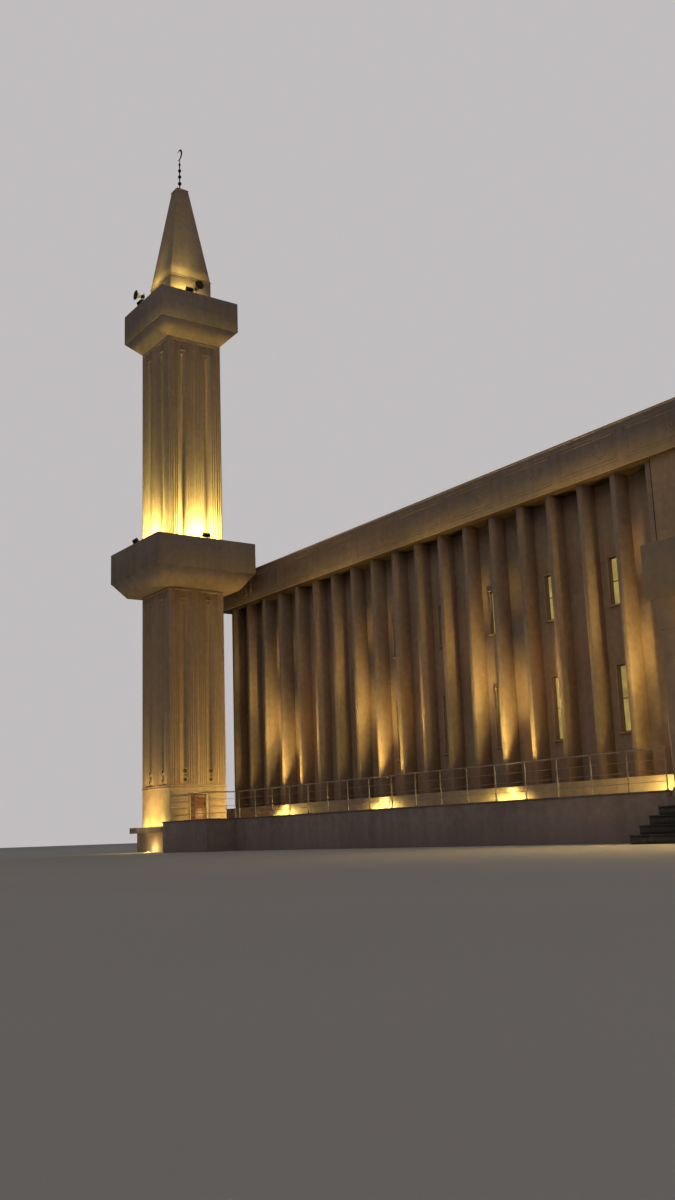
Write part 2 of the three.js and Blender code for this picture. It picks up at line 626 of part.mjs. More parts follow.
function pyramid(bottomSide, topSide, bottom, top) {
  const half = [bottomSide / 2, topSide / 2];
  const level = [bottom, top];
  const points = [];
  for (const end of [0, 1]) {
    for (const x of [-1, 1]) {
      for (const y of [-1, 1]) points.push(new THREE.Vector3(x * half[end], y * half[end], level[end]));
    }
  }
  return new ConvexGeometry(points);
}

function addSpire() {
  const drumBottom = UPPER_GALLERY.fasciaBottom + GALLERY_FLOOR;
  const drumInner = DRUM_SIDE - 2 * SPIRE_WALL;
  const drum = build(
    [box(square(DRUM_SIDE), square(DRUM_SIDE), [drumBottom, DRUM_TOP])],
    [bore(drumBottom - OVERLAP, DRUM_TOP + OVERLAP, drumInner)],
  );
  addPiece('spire_drum', drum, SANDSTONE, minaret);
  const shell = build(
    [pyramid(DRUM_SIDE, SPIRE_TOP_SIDE, DRUM_TOP, SPIRE_TOP)],
    [pyramid(drumInner, SPIRE_TOP_SIDE - 2 * SPIRE_WALL, DRUM_TOP - OVERLAP, SPIRE_TOP - 2 * SPIRE_WALL)],
  );
  addPiece('spire', shell, SANDSTONE, minaret);
  addPiece('spire_cap', pyramid(SPIRE_TOP_SIDE, 2 * FINIAL_ROD, SPIRE_TOP, CAP_TOP), SANDSTONE, minaret);
}

function addFinial() {
  const profile = [[0, CAP_TOP], [FINIAL_ROD, CAP_TOP]];
  for (const { height, radius } of FINIAL_BEADS) {
    profile.push([FINIAL_ROD, height - radius]);
    profile.push([0.8 * radius, height - 0.5 * radius]);
    profile.push([radius, height]);
    profile.push([0.8 * radius, height + 0.5 * radius]);
    profile.push([FINIAL_ROD, height + radius]);
  }
  const stemTop = CRESCENT_HEIGHT - CRESCENT_RADIUS + 30;
  profile.push([FINIAL_ROD, stemTop], [0, stemTop]);
  const rodPoints = profile.map(([r, z]) => new THREE.Vector2(r, z));
  const rod = new THREE.LatheGeometry(rodPoints, 12).rotateX(Math.PI / 2);

  const innerRadius = 0.8 * CRESCENT_RADIUS;
  const innerShift = -0.28 * CRESCENT_RADIUS;
  const disc = (radius, thickness) => new THREE.CylinderGeometry(radius, radius, thickness, 24);
  const outer = disc(CRESCENT_RADIUS, CRESCENT_THICKNESS);
  const inner = disc(innerRadius, 2 * CRESCENT_THICKNESS).translate(innerShift, 0, 0);
  const crescent = build([outer], [inner]).translate(0, 0, CRESCENT_HEIGHT);
  addPiece('finial', build([rod, crescent]), DARK_METAL, minaret);
}

function loudspeaker() {
  const flare = [[0, 0], [90, 0], [90, 120], [50, 130], [60, 200], [110, 290], [HORN_RADIUS, HORN_LENGTH],
    [HORN_RADIUS - 14, HORN_LENGTH], [100, 300], [48, 220], [0, 215]];
  const horn = new THREE.LatheGeometry(flare.map(([r, z]) => new THREE.Vector2(r, z)), 16);
  const foot = box([-40, 40], [40, 100], [-260, -60]);
  return build([horn, foot]);
}

function addLoudspeakers() {
  const names = ['loudspeaker_back', 'loudspeaker_left', 'loudspeaker_front', 'loudspeaker_right'];
  names.forEach((name, quarter) => {
    const turn = new THREE.Group();
    turn.rotation.z = quarter * Math.PI / 2;
    minaret.add(turn);
    const y = UPPER_GALLERY.side / 2 - UPPER_GALLERY.wall / 2 - 70;
    addPiece(name, loudspeaker(), HORN_PAINT, turn).position.set(150, y, UPPER_GALLERY.top + 260);
  });
}

addHallWalls();
addPortalWall();
addHallSlabs();
addTerrace();
addCanopy();
addMinaretBase();
addMinaretDoor();
addShaftsAndGalleries();
addSpire();
addFinial();
addLoudspeakers();

building.updateMatrixWorld(true);
const outline = new THREE.Box3().setFromObject(building);
building.position.set(-(outline.min.x + outline.max.x) / 2, -(outline.min.y + outline.max.y) / 2, 0);

export default building;
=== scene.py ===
import itertools
import math

import bpy
import numpy as np
from mathutils import Euler, Matrix, Vector


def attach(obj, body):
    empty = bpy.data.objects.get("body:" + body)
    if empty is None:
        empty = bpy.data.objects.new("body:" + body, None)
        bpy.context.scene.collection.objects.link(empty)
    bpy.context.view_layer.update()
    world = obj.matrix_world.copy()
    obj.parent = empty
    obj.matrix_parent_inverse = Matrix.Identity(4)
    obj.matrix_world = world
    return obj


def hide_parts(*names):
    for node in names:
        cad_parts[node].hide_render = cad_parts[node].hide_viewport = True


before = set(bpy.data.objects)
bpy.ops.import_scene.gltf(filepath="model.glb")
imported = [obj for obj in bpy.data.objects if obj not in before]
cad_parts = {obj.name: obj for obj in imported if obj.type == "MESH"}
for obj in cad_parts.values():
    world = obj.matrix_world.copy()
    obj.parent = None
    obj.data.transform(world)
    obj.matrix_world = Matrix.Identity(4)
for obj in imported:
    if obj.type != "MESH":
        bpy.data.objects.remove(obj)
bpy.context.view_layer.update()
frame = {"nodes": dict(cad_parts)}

bl_info = {
    "name": "Mosque building",
    "version": (1, 0, 0),
    "blender": (4, 5, 0),
    "location": "View3D > Sidebar > Mosque",
    "description": "Dresses the half-scale mosque building with its walls, minaret, lamps and finishes",
    "category": "Object",
}

# Every length below is the real building's, in millimetres, as in the solid model; meshes are made at 1:2.
SCALE = 0.0005
MIDDLE = np.array((27951.0, 8350.0, 0.0))

PITCH = 1200.0
WING_BAYS = 18
ALL_BAYS = 47
DEPTH_BAYS = 18
BACK_JOINT = 23.5 * PITCH
RIB_WIDTH = 0.14 * PITCH
RIB_DEPTH = 0.45 * PITCH
WALL_INNER = RIB_DEPTH + 300.0
PLINTH_PROJECTION = 0.35 * PITCH
PLINTH_TOP = 1540.0
RIB_TOP = 9590.0
BAND_TOP = 10860.0
BAND_OVERHANG = 0.18 * PITCH
HALL_LEFT = -RIB_WIDTH / 2
HALL_RIGHT = ALL_BAYS * PITCH + RIB_WIDTH / 2
HALL_DEPTH = DEPTH_BAYS * PITCH
HALL_MIDDLE = ALL_BAYS * PITCH / 2
WING_END = WING_BAYS * PITCH

WINDOW_WIDTH = 0.4 * PITCH
WINDOW_ROWS = {"lower": (2770.0, 4560.0), "upper": (6180.0, 7500.0)}
PANE_DEPTH = 0.544 * PITCH

DECK = 900.0
TERRACE_TOP = 1000.0
COPING_TOP = TERRACE_TOP + 35.0
TERRACE_FRONT = -3.4 * PITCH
TERRACE_END = -0.9 * PITCH
TERRACE_WALL = 200.0
PLATFORM_X = (3.3 * PITCH, 5.94 * PITCH)
PLATFORM_FRONT = -4.29 * PITCH
PLATFORM_WALL = 300.0
PLATFORM_RAIL_INSET = 200.0
PORTAL_LEFT = HALL_MIDDLE - 3 * PITCH
PORTAL_RIGHT = HALL_MIDDLE + 3 * PITCH
CANOPY_FRONT = -3.5 * PITCH
CANOPY_BOTTOM = 4920.0
CANOPY_TOP = 6120.0
COLUMN_Y = -3.15 * PITCH
COLUMN_RADIUS = 300.0
COLUMN_INSET = 0.3 * PITCH
ENTRANCE = (HALL_MIDDLE - 1300.0, HALL_MIDDLE + 1300.0)
ENTRANCE_HEAD = 3900.0
STEP_TREAD = 310.0
STEP_RISER = 180.0
STEPS = 4

RAIL_TOP = 1910.0
RAIL_POST_PITCH = 0.8516 * PITCH
RAIL_BAYS = {"left": 17, "right": 22}
RAIL_WIRES = 3
RAIL_Y = TERRACE_FRONT + TERRACE_WALL / 2

MINARET = np.array((0.45 * PITCH, -2.14 * PITCH, 0.0))
SHAFT = 2350.0
SHAFT_BORE = SHAFT - 500.0
BASE_TOP = 2330.0
LOWER_TOP = 9880.0
UPPER_TOP = 20160.0
LOWER_GALLERY = {
    "side": 4236.0, "bottom": LOWER_TOP, "foot": 3264.0, "edge": 10490.0, "top": 11710.0, "wall": 180.0,
}
UPPER_GALLERY = {
    "side": 3468.0, "bottom": UPPER_TOP, "foot": SHAFT, "edge": 20720.0, "top": 21990.0, "wall": 160.0,
}
GALLERY_FLOOR = 200.0
DRUM = 1848.0
DRUM_TOP = 23050.0
SPIRE_TOP = 27400.0
SPIRE_TOP_SIDE = 530.0
CAP_TOP = 27610.0
FINIAL_BEADS = ((27840.0, 80.0), (28160.0, 72.0), (28450.0, 72.0), (28740.0, 50.0))
CRESCENT_HEIGHT = 29200.0
CRESCENT_RADIUS = 240.0

DOOR_HINGE = -SHAFT / 2 + 840.0
DOOR_WIDTH = 640.0
DOOR_BOTTOM = 930.0
DOOR_TOP = 2050.0
DOOR_THICKNESS = 50.0

UPLIGHT_PLACES = (3.6 * PITCH, 8.6 * PITCH, 13.6 * PITCH)
UPLIGHT_Y = -PLINTH_PROJECTION - 233.0
ENTRANCE_LAMP = 18.6 * PITCH
BEAM_HEIGHT = DECK + 150.0
GLOW_RADIUS = 0.05


# Parts: a part is a pair, the points as an array and the faces as a list of arrays of corner numbers

def joined(*parts):
    """Many parts as one: each part's corner numbers count on from the points before it."""
    points, faces, count = [], [], 0
    for part_points, part_faces in parts:
        points.append(part_points)
        faces += [group + count for group in part_faces]
        count += len(part_points)
    return np.concatenate(points), faces


def shifted(part, x=0.0, y=0.0, z=0.0):
    """The part moved along the three axes."""
    return part[0] + np.array((x, y, z)), part[1]


def turned(part, angle, axis="Z", pivot=(0.0, 0.0, 0.0)):
    """The part turned by an angle in degrees about an axis through a pivot."""
    matrix = np.array(Matrix.Rotation(math.radians(angle), 3, axis))
    return (part[0] - pivot) @ matrix.T + pivot, part[1]


def flipped(part):
    """The part mirrored in X about the hall's middle, with each face's corners reversed to look out."""
    points = part[0] * (-1.0, 1.0, 1.0) + (2 * HALL_MIDDLE, 0.0, 0.0)
    return points, [group[:, ::-1] for group in part[1]]


def outward(part):
    """The part with its faces looking out, where the volume summed over fans of triangles is positive."""
    points, faces = part
    volume = 0.0
    for group in faces:
        first = points[group[:, 0]] - points[0]
        for corner in range(1, group.shape[1] - 1):
            second = points[group[:, corner]] - points[0]
            third = points[group[:, corner + 1]] - points[0]
            volume += np.einsum("ij,ij->", first, np.cross(second, third))
    return part if volume > 0 else (points, [group[:, ::-1] for group in faces])


def skin(rings, closed=False):
    """A surface through rings of points, each joined to the next, with a cap at each end unless closed."""
    rings = np.asarray(rings, float)
    rows, columns = rings.shape[:2]
    row, column = np.meshgrid(np.arange(rows if closed else rows - 1), np.arange(columns), indexing="ij")
    after, beside = (row + 1) % rows, (column + 1) % columns
    quads = np.stack([
        row * columns + column, row * columns + beside,
        after * columns + beside, after * columns + column,
    ], axis=-1).reshape(-1, 4)
    faces = [quads]
    if not closed:
        faces.append(np.arange(columns)[None, ::-1])
        faces.append((rows - 1) * columns + np.arange(columns)[None, :])
    return outward((rings.reshape(-1, 3), faces))


def corner_point(axis, signs, variant):
    """Number of one of a corner's three points; the corner's signs are given in turn from an axis on."""
    weights = (4, 2, 1)
    corner = sum(weights[(axis + offset) % 3] for offset, sign in enumerate(signs) if sign > 0)
    return 3 * corner + variant


def facing_out(face, points):
    """A face's point numbers in the order that looks away from the middle of the box."""
    first, second, third = (points[index] for index in face[:3])
    normal = np.cross(second - first, third - first)
    return face if np.dot(normal, points[face].mean(axis=0)) > 0 else face[::-1]


def box_table():
    """Corner signs, insets and faces of a box; each corner is three points, each moved in along two axes."""
    signs = np.array(list(itertools.product((-1, 1), repeat=3)), float)
    points = np.repeat(signs, 3, axis=0)
    inset = np.tile(1.0 - np.eye(3), (8, 1))
    square = ((-1, -1), (1, -1), (1, 1), (-1, 1))
    quads = []
    for axis in range(3):
        following, last = (axis + 1) % 3, (axis + 2) % 3
        for side in (-1, 1):
            quads.append([corner_point(axis, (side, b, c), axis) for b, c in square])
            for other in (-1, 1):
                near, far = (-1, side, other), (1, side, other)
                quads.append([
                    corner_point(axis, near, following), corner_point(axis, far, following),
                    corner_point(axis, far, last), corner_point(axis, near, last),
                ])
    sample_cut = 0.2
    sample = points * (1.0 - sample_cut * inset)
    quads = np.array([facing_out(face, sample) for face in quads])
    corners = np.array([facing_out(face, sample) for face in np.arange(len(points)).reshape(-1, 3)])
    return points, inset, quads, corners


BOX_SIGNS, BOX_INSET, BOX_QUADS, BOX_CORNERS = box_table()


def boxes(extents, chamfer):
    """Boxes from rows of x0, x1, y0, y1, z0, z1, with every edge and corner cut off by the chamfer."""
    extents = np.array(extents, float).reshape(-1, 3, 2)
    middle = extents.mean(axis=2)
    half = np.abs(extents[:, :, 1] - extents[:, :, 0]) / 2
    cut = np.minimum(chamfer, 0.4 * half.min(axis=1))[:, None, None]
    points = middle[:, None, :] + BOX_SIGNS * (half[:, None, :] - BOX_INSET * cut)
    start = (np.arange(len(extents)) * len(BOX_SIGNS))[:, None, None]
    return points.reshape(-1, 3), [(BOX_QUADS + start).reshape(-1, 4), (BOX_CORNERS + start).reshape(-1, 3)]


def lathe(profile, steps, closed=False):
    """A profile of radius and height turned about Z: x = r cos a, y = r sin a, z = h."""
    radius, height = np.array(profile, float).T
    angle = np.linspace(0.0, 2 * math.pi, steps, endpoint=False)
    rings = np.stack([
        radius[:, None] * np.cos(angle), radius[:, None] * np.sin(angle),
        np.repeat(height[:, None], steps, axis=1),
    ], axis=-1)
    return skin(rings, closed)


def square_lathe(profile, chamfer, closed=False):
    """A profile of half side and height carried round a square with cut corners."""
    half, height = np.array(profile, float).T
    cut = np.minimum(chamfer, 0.3 * half)
    inner = half - cut
    x = np.stack([inner, half, half, inner, -inner, -half, -half, -inner], axis=1)
    y = np.stack([-half, -inner, inner, half, half, inner, -inner, -half], axis=1)
    return skin(np.stack([x, y, np.repeat(height[:, None], 8, axis=1)], axis=-1), closed)


def rectangle_moulding(profile, low, high):
    """A closed profile of outward offset and height carried round a rectangle with mitred corners."""
    offset, height = np.array(profile, float).T
    signs = np.array(((-1, -1), (1, -1), (1, 1), (-1, 1)), float)
    corners = np.where(signs < 0, np.array(low), np.array(high))
    rings = corners[:, None, :] + signs[:, None, :] * offset[None, :, None]
    rings = np.concatenate([rings, np.repeat(height[None, :, None], 4, axis=0)], axis=2)
    return skin(rings, closed=True)


def bars(starts, ends, radius, sides=10):
    """Straight round bars, each a ring of points at its start and its end, square to its run."""
    starts, ends = np.atleast_2d(starts).astype(float), np.atleast_2d(ends).astype(float)
    along = ends - starts
    along /= np.linalg.norm(along, axis=1, keepdims=True)
    helper = np.where(np.abs(along[:, 2:]) > 0.9, (1.0, 0.0, 0.0), (0.0, 0.0, 1.0))
    side = np.cross(along, helper)
    side /= np.linalg.norm(side, axis=1, keepdims=True)
    other = np.cross(side, along)
    angle = np.linspace(0.0, 2 * math.pi, sides, endpoint=False)
    ring = side[:, None] * np.cos(angle)[None, :, None] + other[:, None] * np.sin(angle)[None, :, None]
    points = np.stack([starts[:, None] + radius * ring, ends[:, None] + radius * ring], axis=1)
    near = np.arange(sides)
    beside = (near + 1) % sides
    start = (np.arange(len(starts)) * 2 * sides)[:, None, None]
    quads = (np.stack([near, beside, beside + sides, near + sides], axis=1) + start).reshape(-1, 4)
    caps = (np.stack([near[::-1], near + sides]) + start).reshape(-1, sides)
    return outward((points.reshape(-1, 3), [quads, caps]))


def pierced_slab(across, levels, solid, front, back):
    """A flat slab on a grid of lines: a solid cell has a front, a back, and edges beside empty cells."""
    across, levels = np.array(across, float), np.array(levels, float)
    x, z = np.meshgrid(across, levels)
    sheets = [np.stack([x, np.full_like(x, depth), z], axis=-1).reshape(-1, 3) for depth in (front, back)]
    near = np.arange(x.size).reshape(x.shape)
    far = near + x.size
    padded = np.pad(np.asarray(solid, bool), 1)
    in_rows, in_columns = padded[1:-1], padded[:, 1:-1]

    r, c = np.nonzero(in_rows[:, 1:-1])
    front_faces = np.stack([near[r, c], near[r, c + 1], near[r + 1, c + 1], near[r + 1, c]], axis=1)
    faces = [front_faces, front_faces[:, ::-1] + x.size]
    r, c = np.nonzero(in_rows[:, :-1] & ~in_rows[:, 1:])
    faces.append(np.stack([near[r, c], far[r, c], far[r + 1, c], near[r + 1, c]], axis=1))
    r, c = np.nonzero(~in_rows[:, :-1] & in_rows[:, 1:])
    faces.append(np.stack([near[r + 1, c], far[r + 1, c], far[r, c], near[r, c]], axis=1))
    r, c = np.nonzero(in_columns[:-1] & ~in_columns[1:])
    faces.append(np.stack([near[r, c], near[r, c + 1], far[r, c + 1], far[r, c]], axis=1))
    r, c = np.nonzero(~in_columns[:-1] & in_columns[1:])
    faces.append(np.stack([far[r, c], far[r, c + 1], near[r, c + 1], near[r, c]], axis=1))
    return np.concatenate(sheets), faces


def on_four_sides(part):
    """The part and its three quarter turns about the minaret's middle."""
    return joined(*[turned(part, 90.0 * quarter) for quarter in range(4)])


def on_minaret(part):
    """A part made about the minaret's middle, moved to where the minaret stands."""
    return part[0] + MINARET, part[1]


def real_size(name):
    """One of the sizes that a user can change, as the real building's in millimetres."""
    return round(getattr(bpy.context.scene.mosque_sizes, name) / SCALE, 2)


def add_piece(name, part, material, stands_for=(), body="building", smooth=None):
    """Puts a part into a mesh at 1:2, with its finish and body, smoothed up to an angle in degrees."""
    points, faces = part
    mesh = bpy.data.meshes.new(name)
    corners = np.concatenate([group.ravel() for group in faces]).astype(np.int32)
    sizes = np.concatenate([np.full(len(group), group.shape[1]) for group in faces])
    starts = np.concatenate(([0], np.cumsum(sizes)[:-1])).astype(np.int32)
    mesh.vertices.add(len(points))
    mesh.vertices.foreach_set("co", ((points - MIDDLE) * SCALE).astype(np.float32).ravel())
    mesh.loops.add(len(corners))
    mesh.loops.foreach_set("vertex_index", corners)
    mesh.polygons.add(len(sizes))
    mesh.polygons.foreach_set("loop_start", starts)
    mesh.update(calc_edges=True)
    mesh.validate()
    mesh.materials.append(material)
    if smooth is not None:
        mesh.shade_smooth()
        mesh.set_sharp_from_angle(angle=math.radians(smooth))
    piece = bpy.data.objects.new(name, mesh)
    bpy.context.scene.collection.objects.link(piece)
    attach(piece, body)
    if stands_for:
        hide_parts(*stands_for)


# Finishes

def node(tree, kind, inputs=None, **settings):
    """One shader node: its settings, and for each input a value or another node's socket."""
    made = tree.nodes.new("ShaderNode" + kind)
    for key, value in settings.items():
        setattr(made, key, value)
    for key, value in (inputs or {}).items():
        if isinstance(value, bpy.types.NodeSocket):
            tree.links.new(value, made.inputs[key])
        else:
            made.inputs[key].default_value = value
    return made


def start_finish(name, **values):
    """A new material with its shader's fixed values set on the shader's own sockets."""
    material = bpy.data.materials.new(name)
    material.use_nodes = True
    tree = material.node_tree
    shader = next(n for n in tree.nodes if n.type == "BSDF_PRINCIPLED")
    for key, value in values.items():
        shader.inputs[key.replace("_", " ")].default_value = value
    place = node(tree, "TexCoord").outputs["Object"]
    return material, tree, shader, place


def noise(tree, place, scale, detail, stretch=None, distortion=0.0):
    """Noise on object coordinates, stretched along an axis where a stretch is given."""
    if stretch:
        place = node(tree, "Mapping", {"Vector": place, "Scale": stretch}).outputs[0]
    values = {"Vector": place, "Scale": scale, "Detail": detail, "Distortion": distortion}
    return node(tree, "TexNoise", values).outputs["Fac"]


def ranged(tree, value, low, high, to_low=0.0, to_high=1.0):
    """A value carried from one range to another and held inside it."""
    inputs = {"Value": value, "From Min": low, "From Max": high, "To Min": to_low, "To Max": to_high}
    return node(tree, "MapRange", inputs).outputs[0]


def blended(tree, factor, first, second):
    """Two colours mixed by a factor."""
    return node(tree, "Mix", {0: factor, 6: first, 7: second}, data_type="RGBA").outputs[2]


def weighted(tree, *pairs):
    """The sum of values times weights."""
    total = 0.0
    for value, weight in pairs:
        total = node(tree, "Math", {0: value, 1: weight, 2: total}, operation="MULTIPLY_ADD").outputs[0]
    return total


def bumped(tree, shader, *layers):
    """Bump in layers of value, strength and distance, from the coarsest to the finest."""
    normal = None
    for value, strength, distance in layers:
        inputs = {"Height": value, "Strength": strength, "Distance": distance}
        if normal:
            inputs["Normal"] = normal
        normal = node(tree, "Bump", inputs).outputs[0]
    tree.links.new(normal, shader.inputs["Normal"])


def tint(colour, factor=1.0):
    """A colour with four channels, darker or lighter by a factor."""
    return tuple(min(channel * factor, 1.0) for channel in colour) + (1.0,)


def render_finish(name, colour, contrast, splash=0.0):
    """Sprayed render: broad patches, fine mottling, runs of dust down the wall, grain and trowel marks."""
    material, tree, shader, place = start_finish(name, Roughness=0.9, Specular_IOR_Level=0.25)
    patches = noise(tree, place, 0.7, 5.0)
    mottle = noise(tree, place, 11.0, 6.0)
    runs = noise(tree, place, 1.0, 5.0, (7.0, 7.0, 0.35))
    grain = noise(tree, place, 190.0, 3.0)
    tone = weighted(tree, (patches, 0.35), (mottle, 0.3), (runs, 0.25), (grain, 0.1))
    factor = ranged(tree, tone, 0.36, 0.64)
    result = blended(tree, factor, tint(colour, 1.0 - contrast), tint(colour, 1.0 + contrast))
    if splash:
        height = node(tree, "SeparateXYZ", {0: place}).outputs["Z"]
        wet = ranged(tree, height, 0.0, 0.35, splash, 0.0)
        uneven = node(tree, "Math", {0: wet, 1: mottle}, operation="MULTIPLY").outputs[0]
        result = blended(tree, uneven, result, tint(colour, 0.45))
    tree.links.new(result, shader.inputs["Base Color"])
    tree.links.new(ranged(tree, mottle, 0.3, 0.7, 0.8, 0.97), shader.inputs["Roughness"])
    trowel = noise(tree, place, 60.0, 4.0)
    bumped(tree, shader, (mottle, 0.25, 0.006), (trowel, 0.3, 0.002), (grain, 0.35, 0.001))
    return material


def slab_finish(name, colour, tile, polished=False):
    """Slabs of stone or concrete in a grid, each a little different, with grouted joints and speckles."""
    roughness = 0.3 if polished else 0.75
    material, tree, shader, place = start_finish(name, Roughness=roughness)
    grid = {
        "Vector": place, "Scale": 1.0, "Brick Width": tile, "Row Height": tile,
        "Color1": tint(colour, 0.85), "Color2": tint(colour, 1.2), "Mortar": tint(colour, 0.55),
        "Mortar Size": 0.0025, "Mortar Smooth": 0.3,
    }
    laid = node(tree, "TexBrick", grid, offset=0.0)
    speckle = noise(tree, place, 140.0, 2.0)
    stains = noise(tree, place, 2.2, 6.0)
    dark = blended(tree, ranged(tree, speckle, 0.4, 0.62), laid.outputs["Color"], tint(colour, 0.7))
    result = blended(tree, ranged(tree, stains, 0.45, 0.7, 0.0, 0.45), dark, tint(colour, 0.6))
    tree.links.new(result, shader.inputs["Base Color"])
    dulled = ranged(tree, stains, 0.3, 0.7, roughness - 0.1, roughness + 0.15)
    tree.links.new(dulled, shader.inputs["Roughness"])
    joint = node(tree, "Math", {0: 1.0, 1: laid.outputs["Fac"]}, operation="SUBTRACT").outputs[0]
    bumped(tree, shader, (joint, 0.6, 0.002), (speckle, 0.15, 0.0006))
    return material


def wood_finish(name, colour):
    """Varnished boards: long grain drawn out along Z, with darker veins and a low bump."""
    material, tree, shader, place = start_finish(name, Roughness=0.42, Coat_Weight=0.15)
    veins = noise(tree, place, 3.0, 8.0, (26.0, 26.0, 1.3), 1.2)
    fibres = noise(tree, place, 30.0, 3.0, (14.0, 14.0, 0.8))
    tone = weighted(tree, (veins, 0.65), (fibres, 0.35))
    result = blended(tree, ranged(tree, tone, 0.36, 0.64), tint(colour, 0.55), tint(colour, 1.35))
    tree.links.new(result, shader.inputs["Base Color"])
    tree.links.new(ranged(tree, veins, 0.3, 0.7, 0.5, 0.35), shader.inputs["Roughness"])
    bumped(tree, shader, (veins, 0.2, 0.001), (fibres, 0.2, 0.0005))
    return material


def paint_finish(name, colour, roughness):
    """Brushed paint with thin spots, dust that has settled and a slight orange peel."""
    material, tree, shader, place = start_finish(name, Roughness=roughness)
    dust = noise(tree, place, 6.0, 6.0)
    peel = noise(tree, place, 120.0, 2.0)
    strokes = noise(tree, place, 20.0, 3.0, (6.0, 6.0, 0.7))
    tone = weighted(tree, (dust, 0.6), (strokes, 0.4))
    result = blended(tree, ranged(tree, tone, 0.38, 0.62), tint(colour, 0.78), tint(colour, 1.18))
    tree.links.new(result, shader.inputs["Base Color"])
    dulled = ranged(tree, dust, 0.3, 0.7, roughness - 0.1, roughness + 0.2)
    tree.links.new(dulled, shader.inputs["Roughness"])
    bumped(tree, shader, (strokes, 0.12, 0.0008), (peel, 0.12, 0.0003))
    return material


def metal_finish(name, colour, roughness, drawn=(1.0, 1.0, 1.0)):
    """Metal with fine drawn lines, a cloudy bloom and duller patches."""
    material, tree, shader, place = start_finish(name, Metallic=0.9, Roughness=roughness)
    bloom = noise(tree, place, 9.0, 5.0)
    lines = noise(tree, place, 60.0, 3.0, drawn)
    result = blended(tree, ranged(tree, bloom, 0.35, 0.65), tint(colour, 0.75), tint(colour, 1.2))
    tree.links.new(result, shader.inputs["Base Color"])
    wear = weighted(tree, (bloom, 0.6), (lines, 0.4))
    dulled = ranged(tree, wear, 0.35, 0.65, roughness - 0.08, roughness + 0.18)
    tree.links.new(dulled, shader.inputs["Roughness"])
    bumped(tree, shader, (lines, 0.1, 0.0003))
    return material


def glass_finish(name, colour, glow, strength):
    """Tinted glass with a film of dust that dulls it in patches, and a painted glow in patches that stands in
    for the faint light of the room behind.
    """
    material, tree, shader, place = start_finish(
        name, Roughness=0.06, Transmission_Weight=0.55, IOR=1.45, Emission_Strength=strength,
    )
    film = noise(tree, place, 5.0, 6.0)
    result = blended(tree, ranged(tree, film, 0.4, 0.7), tint(colour, 0.8), tint(colour, 1.5))
    tree.links.new(result, shader.inputs["Base Color"])
    # painted glow: the pane gives off light of its own, in patches, for the lit room behind it
    lit = blended(tree, ranged(tree, film, 0.3, 0.7), tint(glow, 0.6), tint(glow, 1.3))
    tree.links.new(lit, shader.inputs["Emission Color"])
    tree.links.new(ranged(tree, film, 0.4, 0.75, 0.03, 0.22), shader.inputs["Roughness"])
    bumped(tree, shader, (noise(tree, place, 1.6, 2.0), 0.05, 0.004))
    return material


def lens_finish(name, colour, strength):
    """A lit lamp glass, brighter in fine patches."""
    material, tree, shader, place = start_finish(name, Roughness=0.2, Emission_Strength=strength)
    ribs = noise(tree, place, 90.0, 1.0)
    result = blended(tree, ranged(tree, ribs, 0.3, 0.7), tint(colour, 0.8), tint(colour, 1.2))
    tree.links.new(result, shader.inputs["Base Color"])
    tree.links.new(result, shader.inputs["Emission Color"])
    return material


def shade(colour, factor):
    """A colour lighter or darker by a factor."""
    return tuple(factor * channel for channel in colour)


def finish(kind):
    """The material of one kind, made the first time it is asked for."""
    known = bpy.data.materials.get("finish_" + kind)
    if known:
        return known
    colours = bpy.context.scene.mosque_colours
    lamps = bpy.context.scene.mosque_lamps
    makers = {
        "sandstone": (render_finish, colours.sandstone, 0.24, 0.5),
        "relief": (render_finish, colours.sandstone, 0.2),
        "surround": (render_finish, shade(colours.sandstone, 1.25), 0.16),
        "fascia": (render_finish, colours.fascia, 0.24),
        "soffit": (render_finish, colours.soffit, 0.2),
        "terrace": (render_finish, colours.terrace, 0.3, 0.7),
        # painted shade: the coping is a darker render than the wall, which draws the dark line of shade along
        # the wall's top
        "coping": (render_finish, shade(colours.terrace, 0.6), 0.25),
        # painted shade: a dark render that stands in for the shade in joints, under the roof band, in the
        # eyes of bosses and in horn mouths
        "hollow": (render_finish, colours.hollow, 0.2),
        "paving": (slab_finish, colours.terrace, 0.3),
        "concrete": (slab_finish, colours.concrete, 1.2),
        "steps": (slab_finish, colours.steps, 0.9, True),
        "steel": (metal_finish, colours.steel, 0.32, (0.2, 3.0, 3.0)),
        "bronze": (metal_finish, colours.dark_metal, 0.42),
        "lamp_body": (paint_finish, colours.dark_metal, 0.4),
        "horn": (paint_finish, colours.horn, 0.45),
        "wood": (wood_finish, colours.door),
        "frame": (paint_finish, colours.frame, 0.5),
        "sash": (paint_finish, colours.sash, 0.4),
        "glass": (glass_finish, colours.glass, colours.room, lamps.painted_room_glow),
        "lens": (lens_finish, lamps.gallery_colour, lamps.lens_strength),
    }
    maker, *values = makers[kind]
    return maker("finish_" + kind, *values)


# Hall

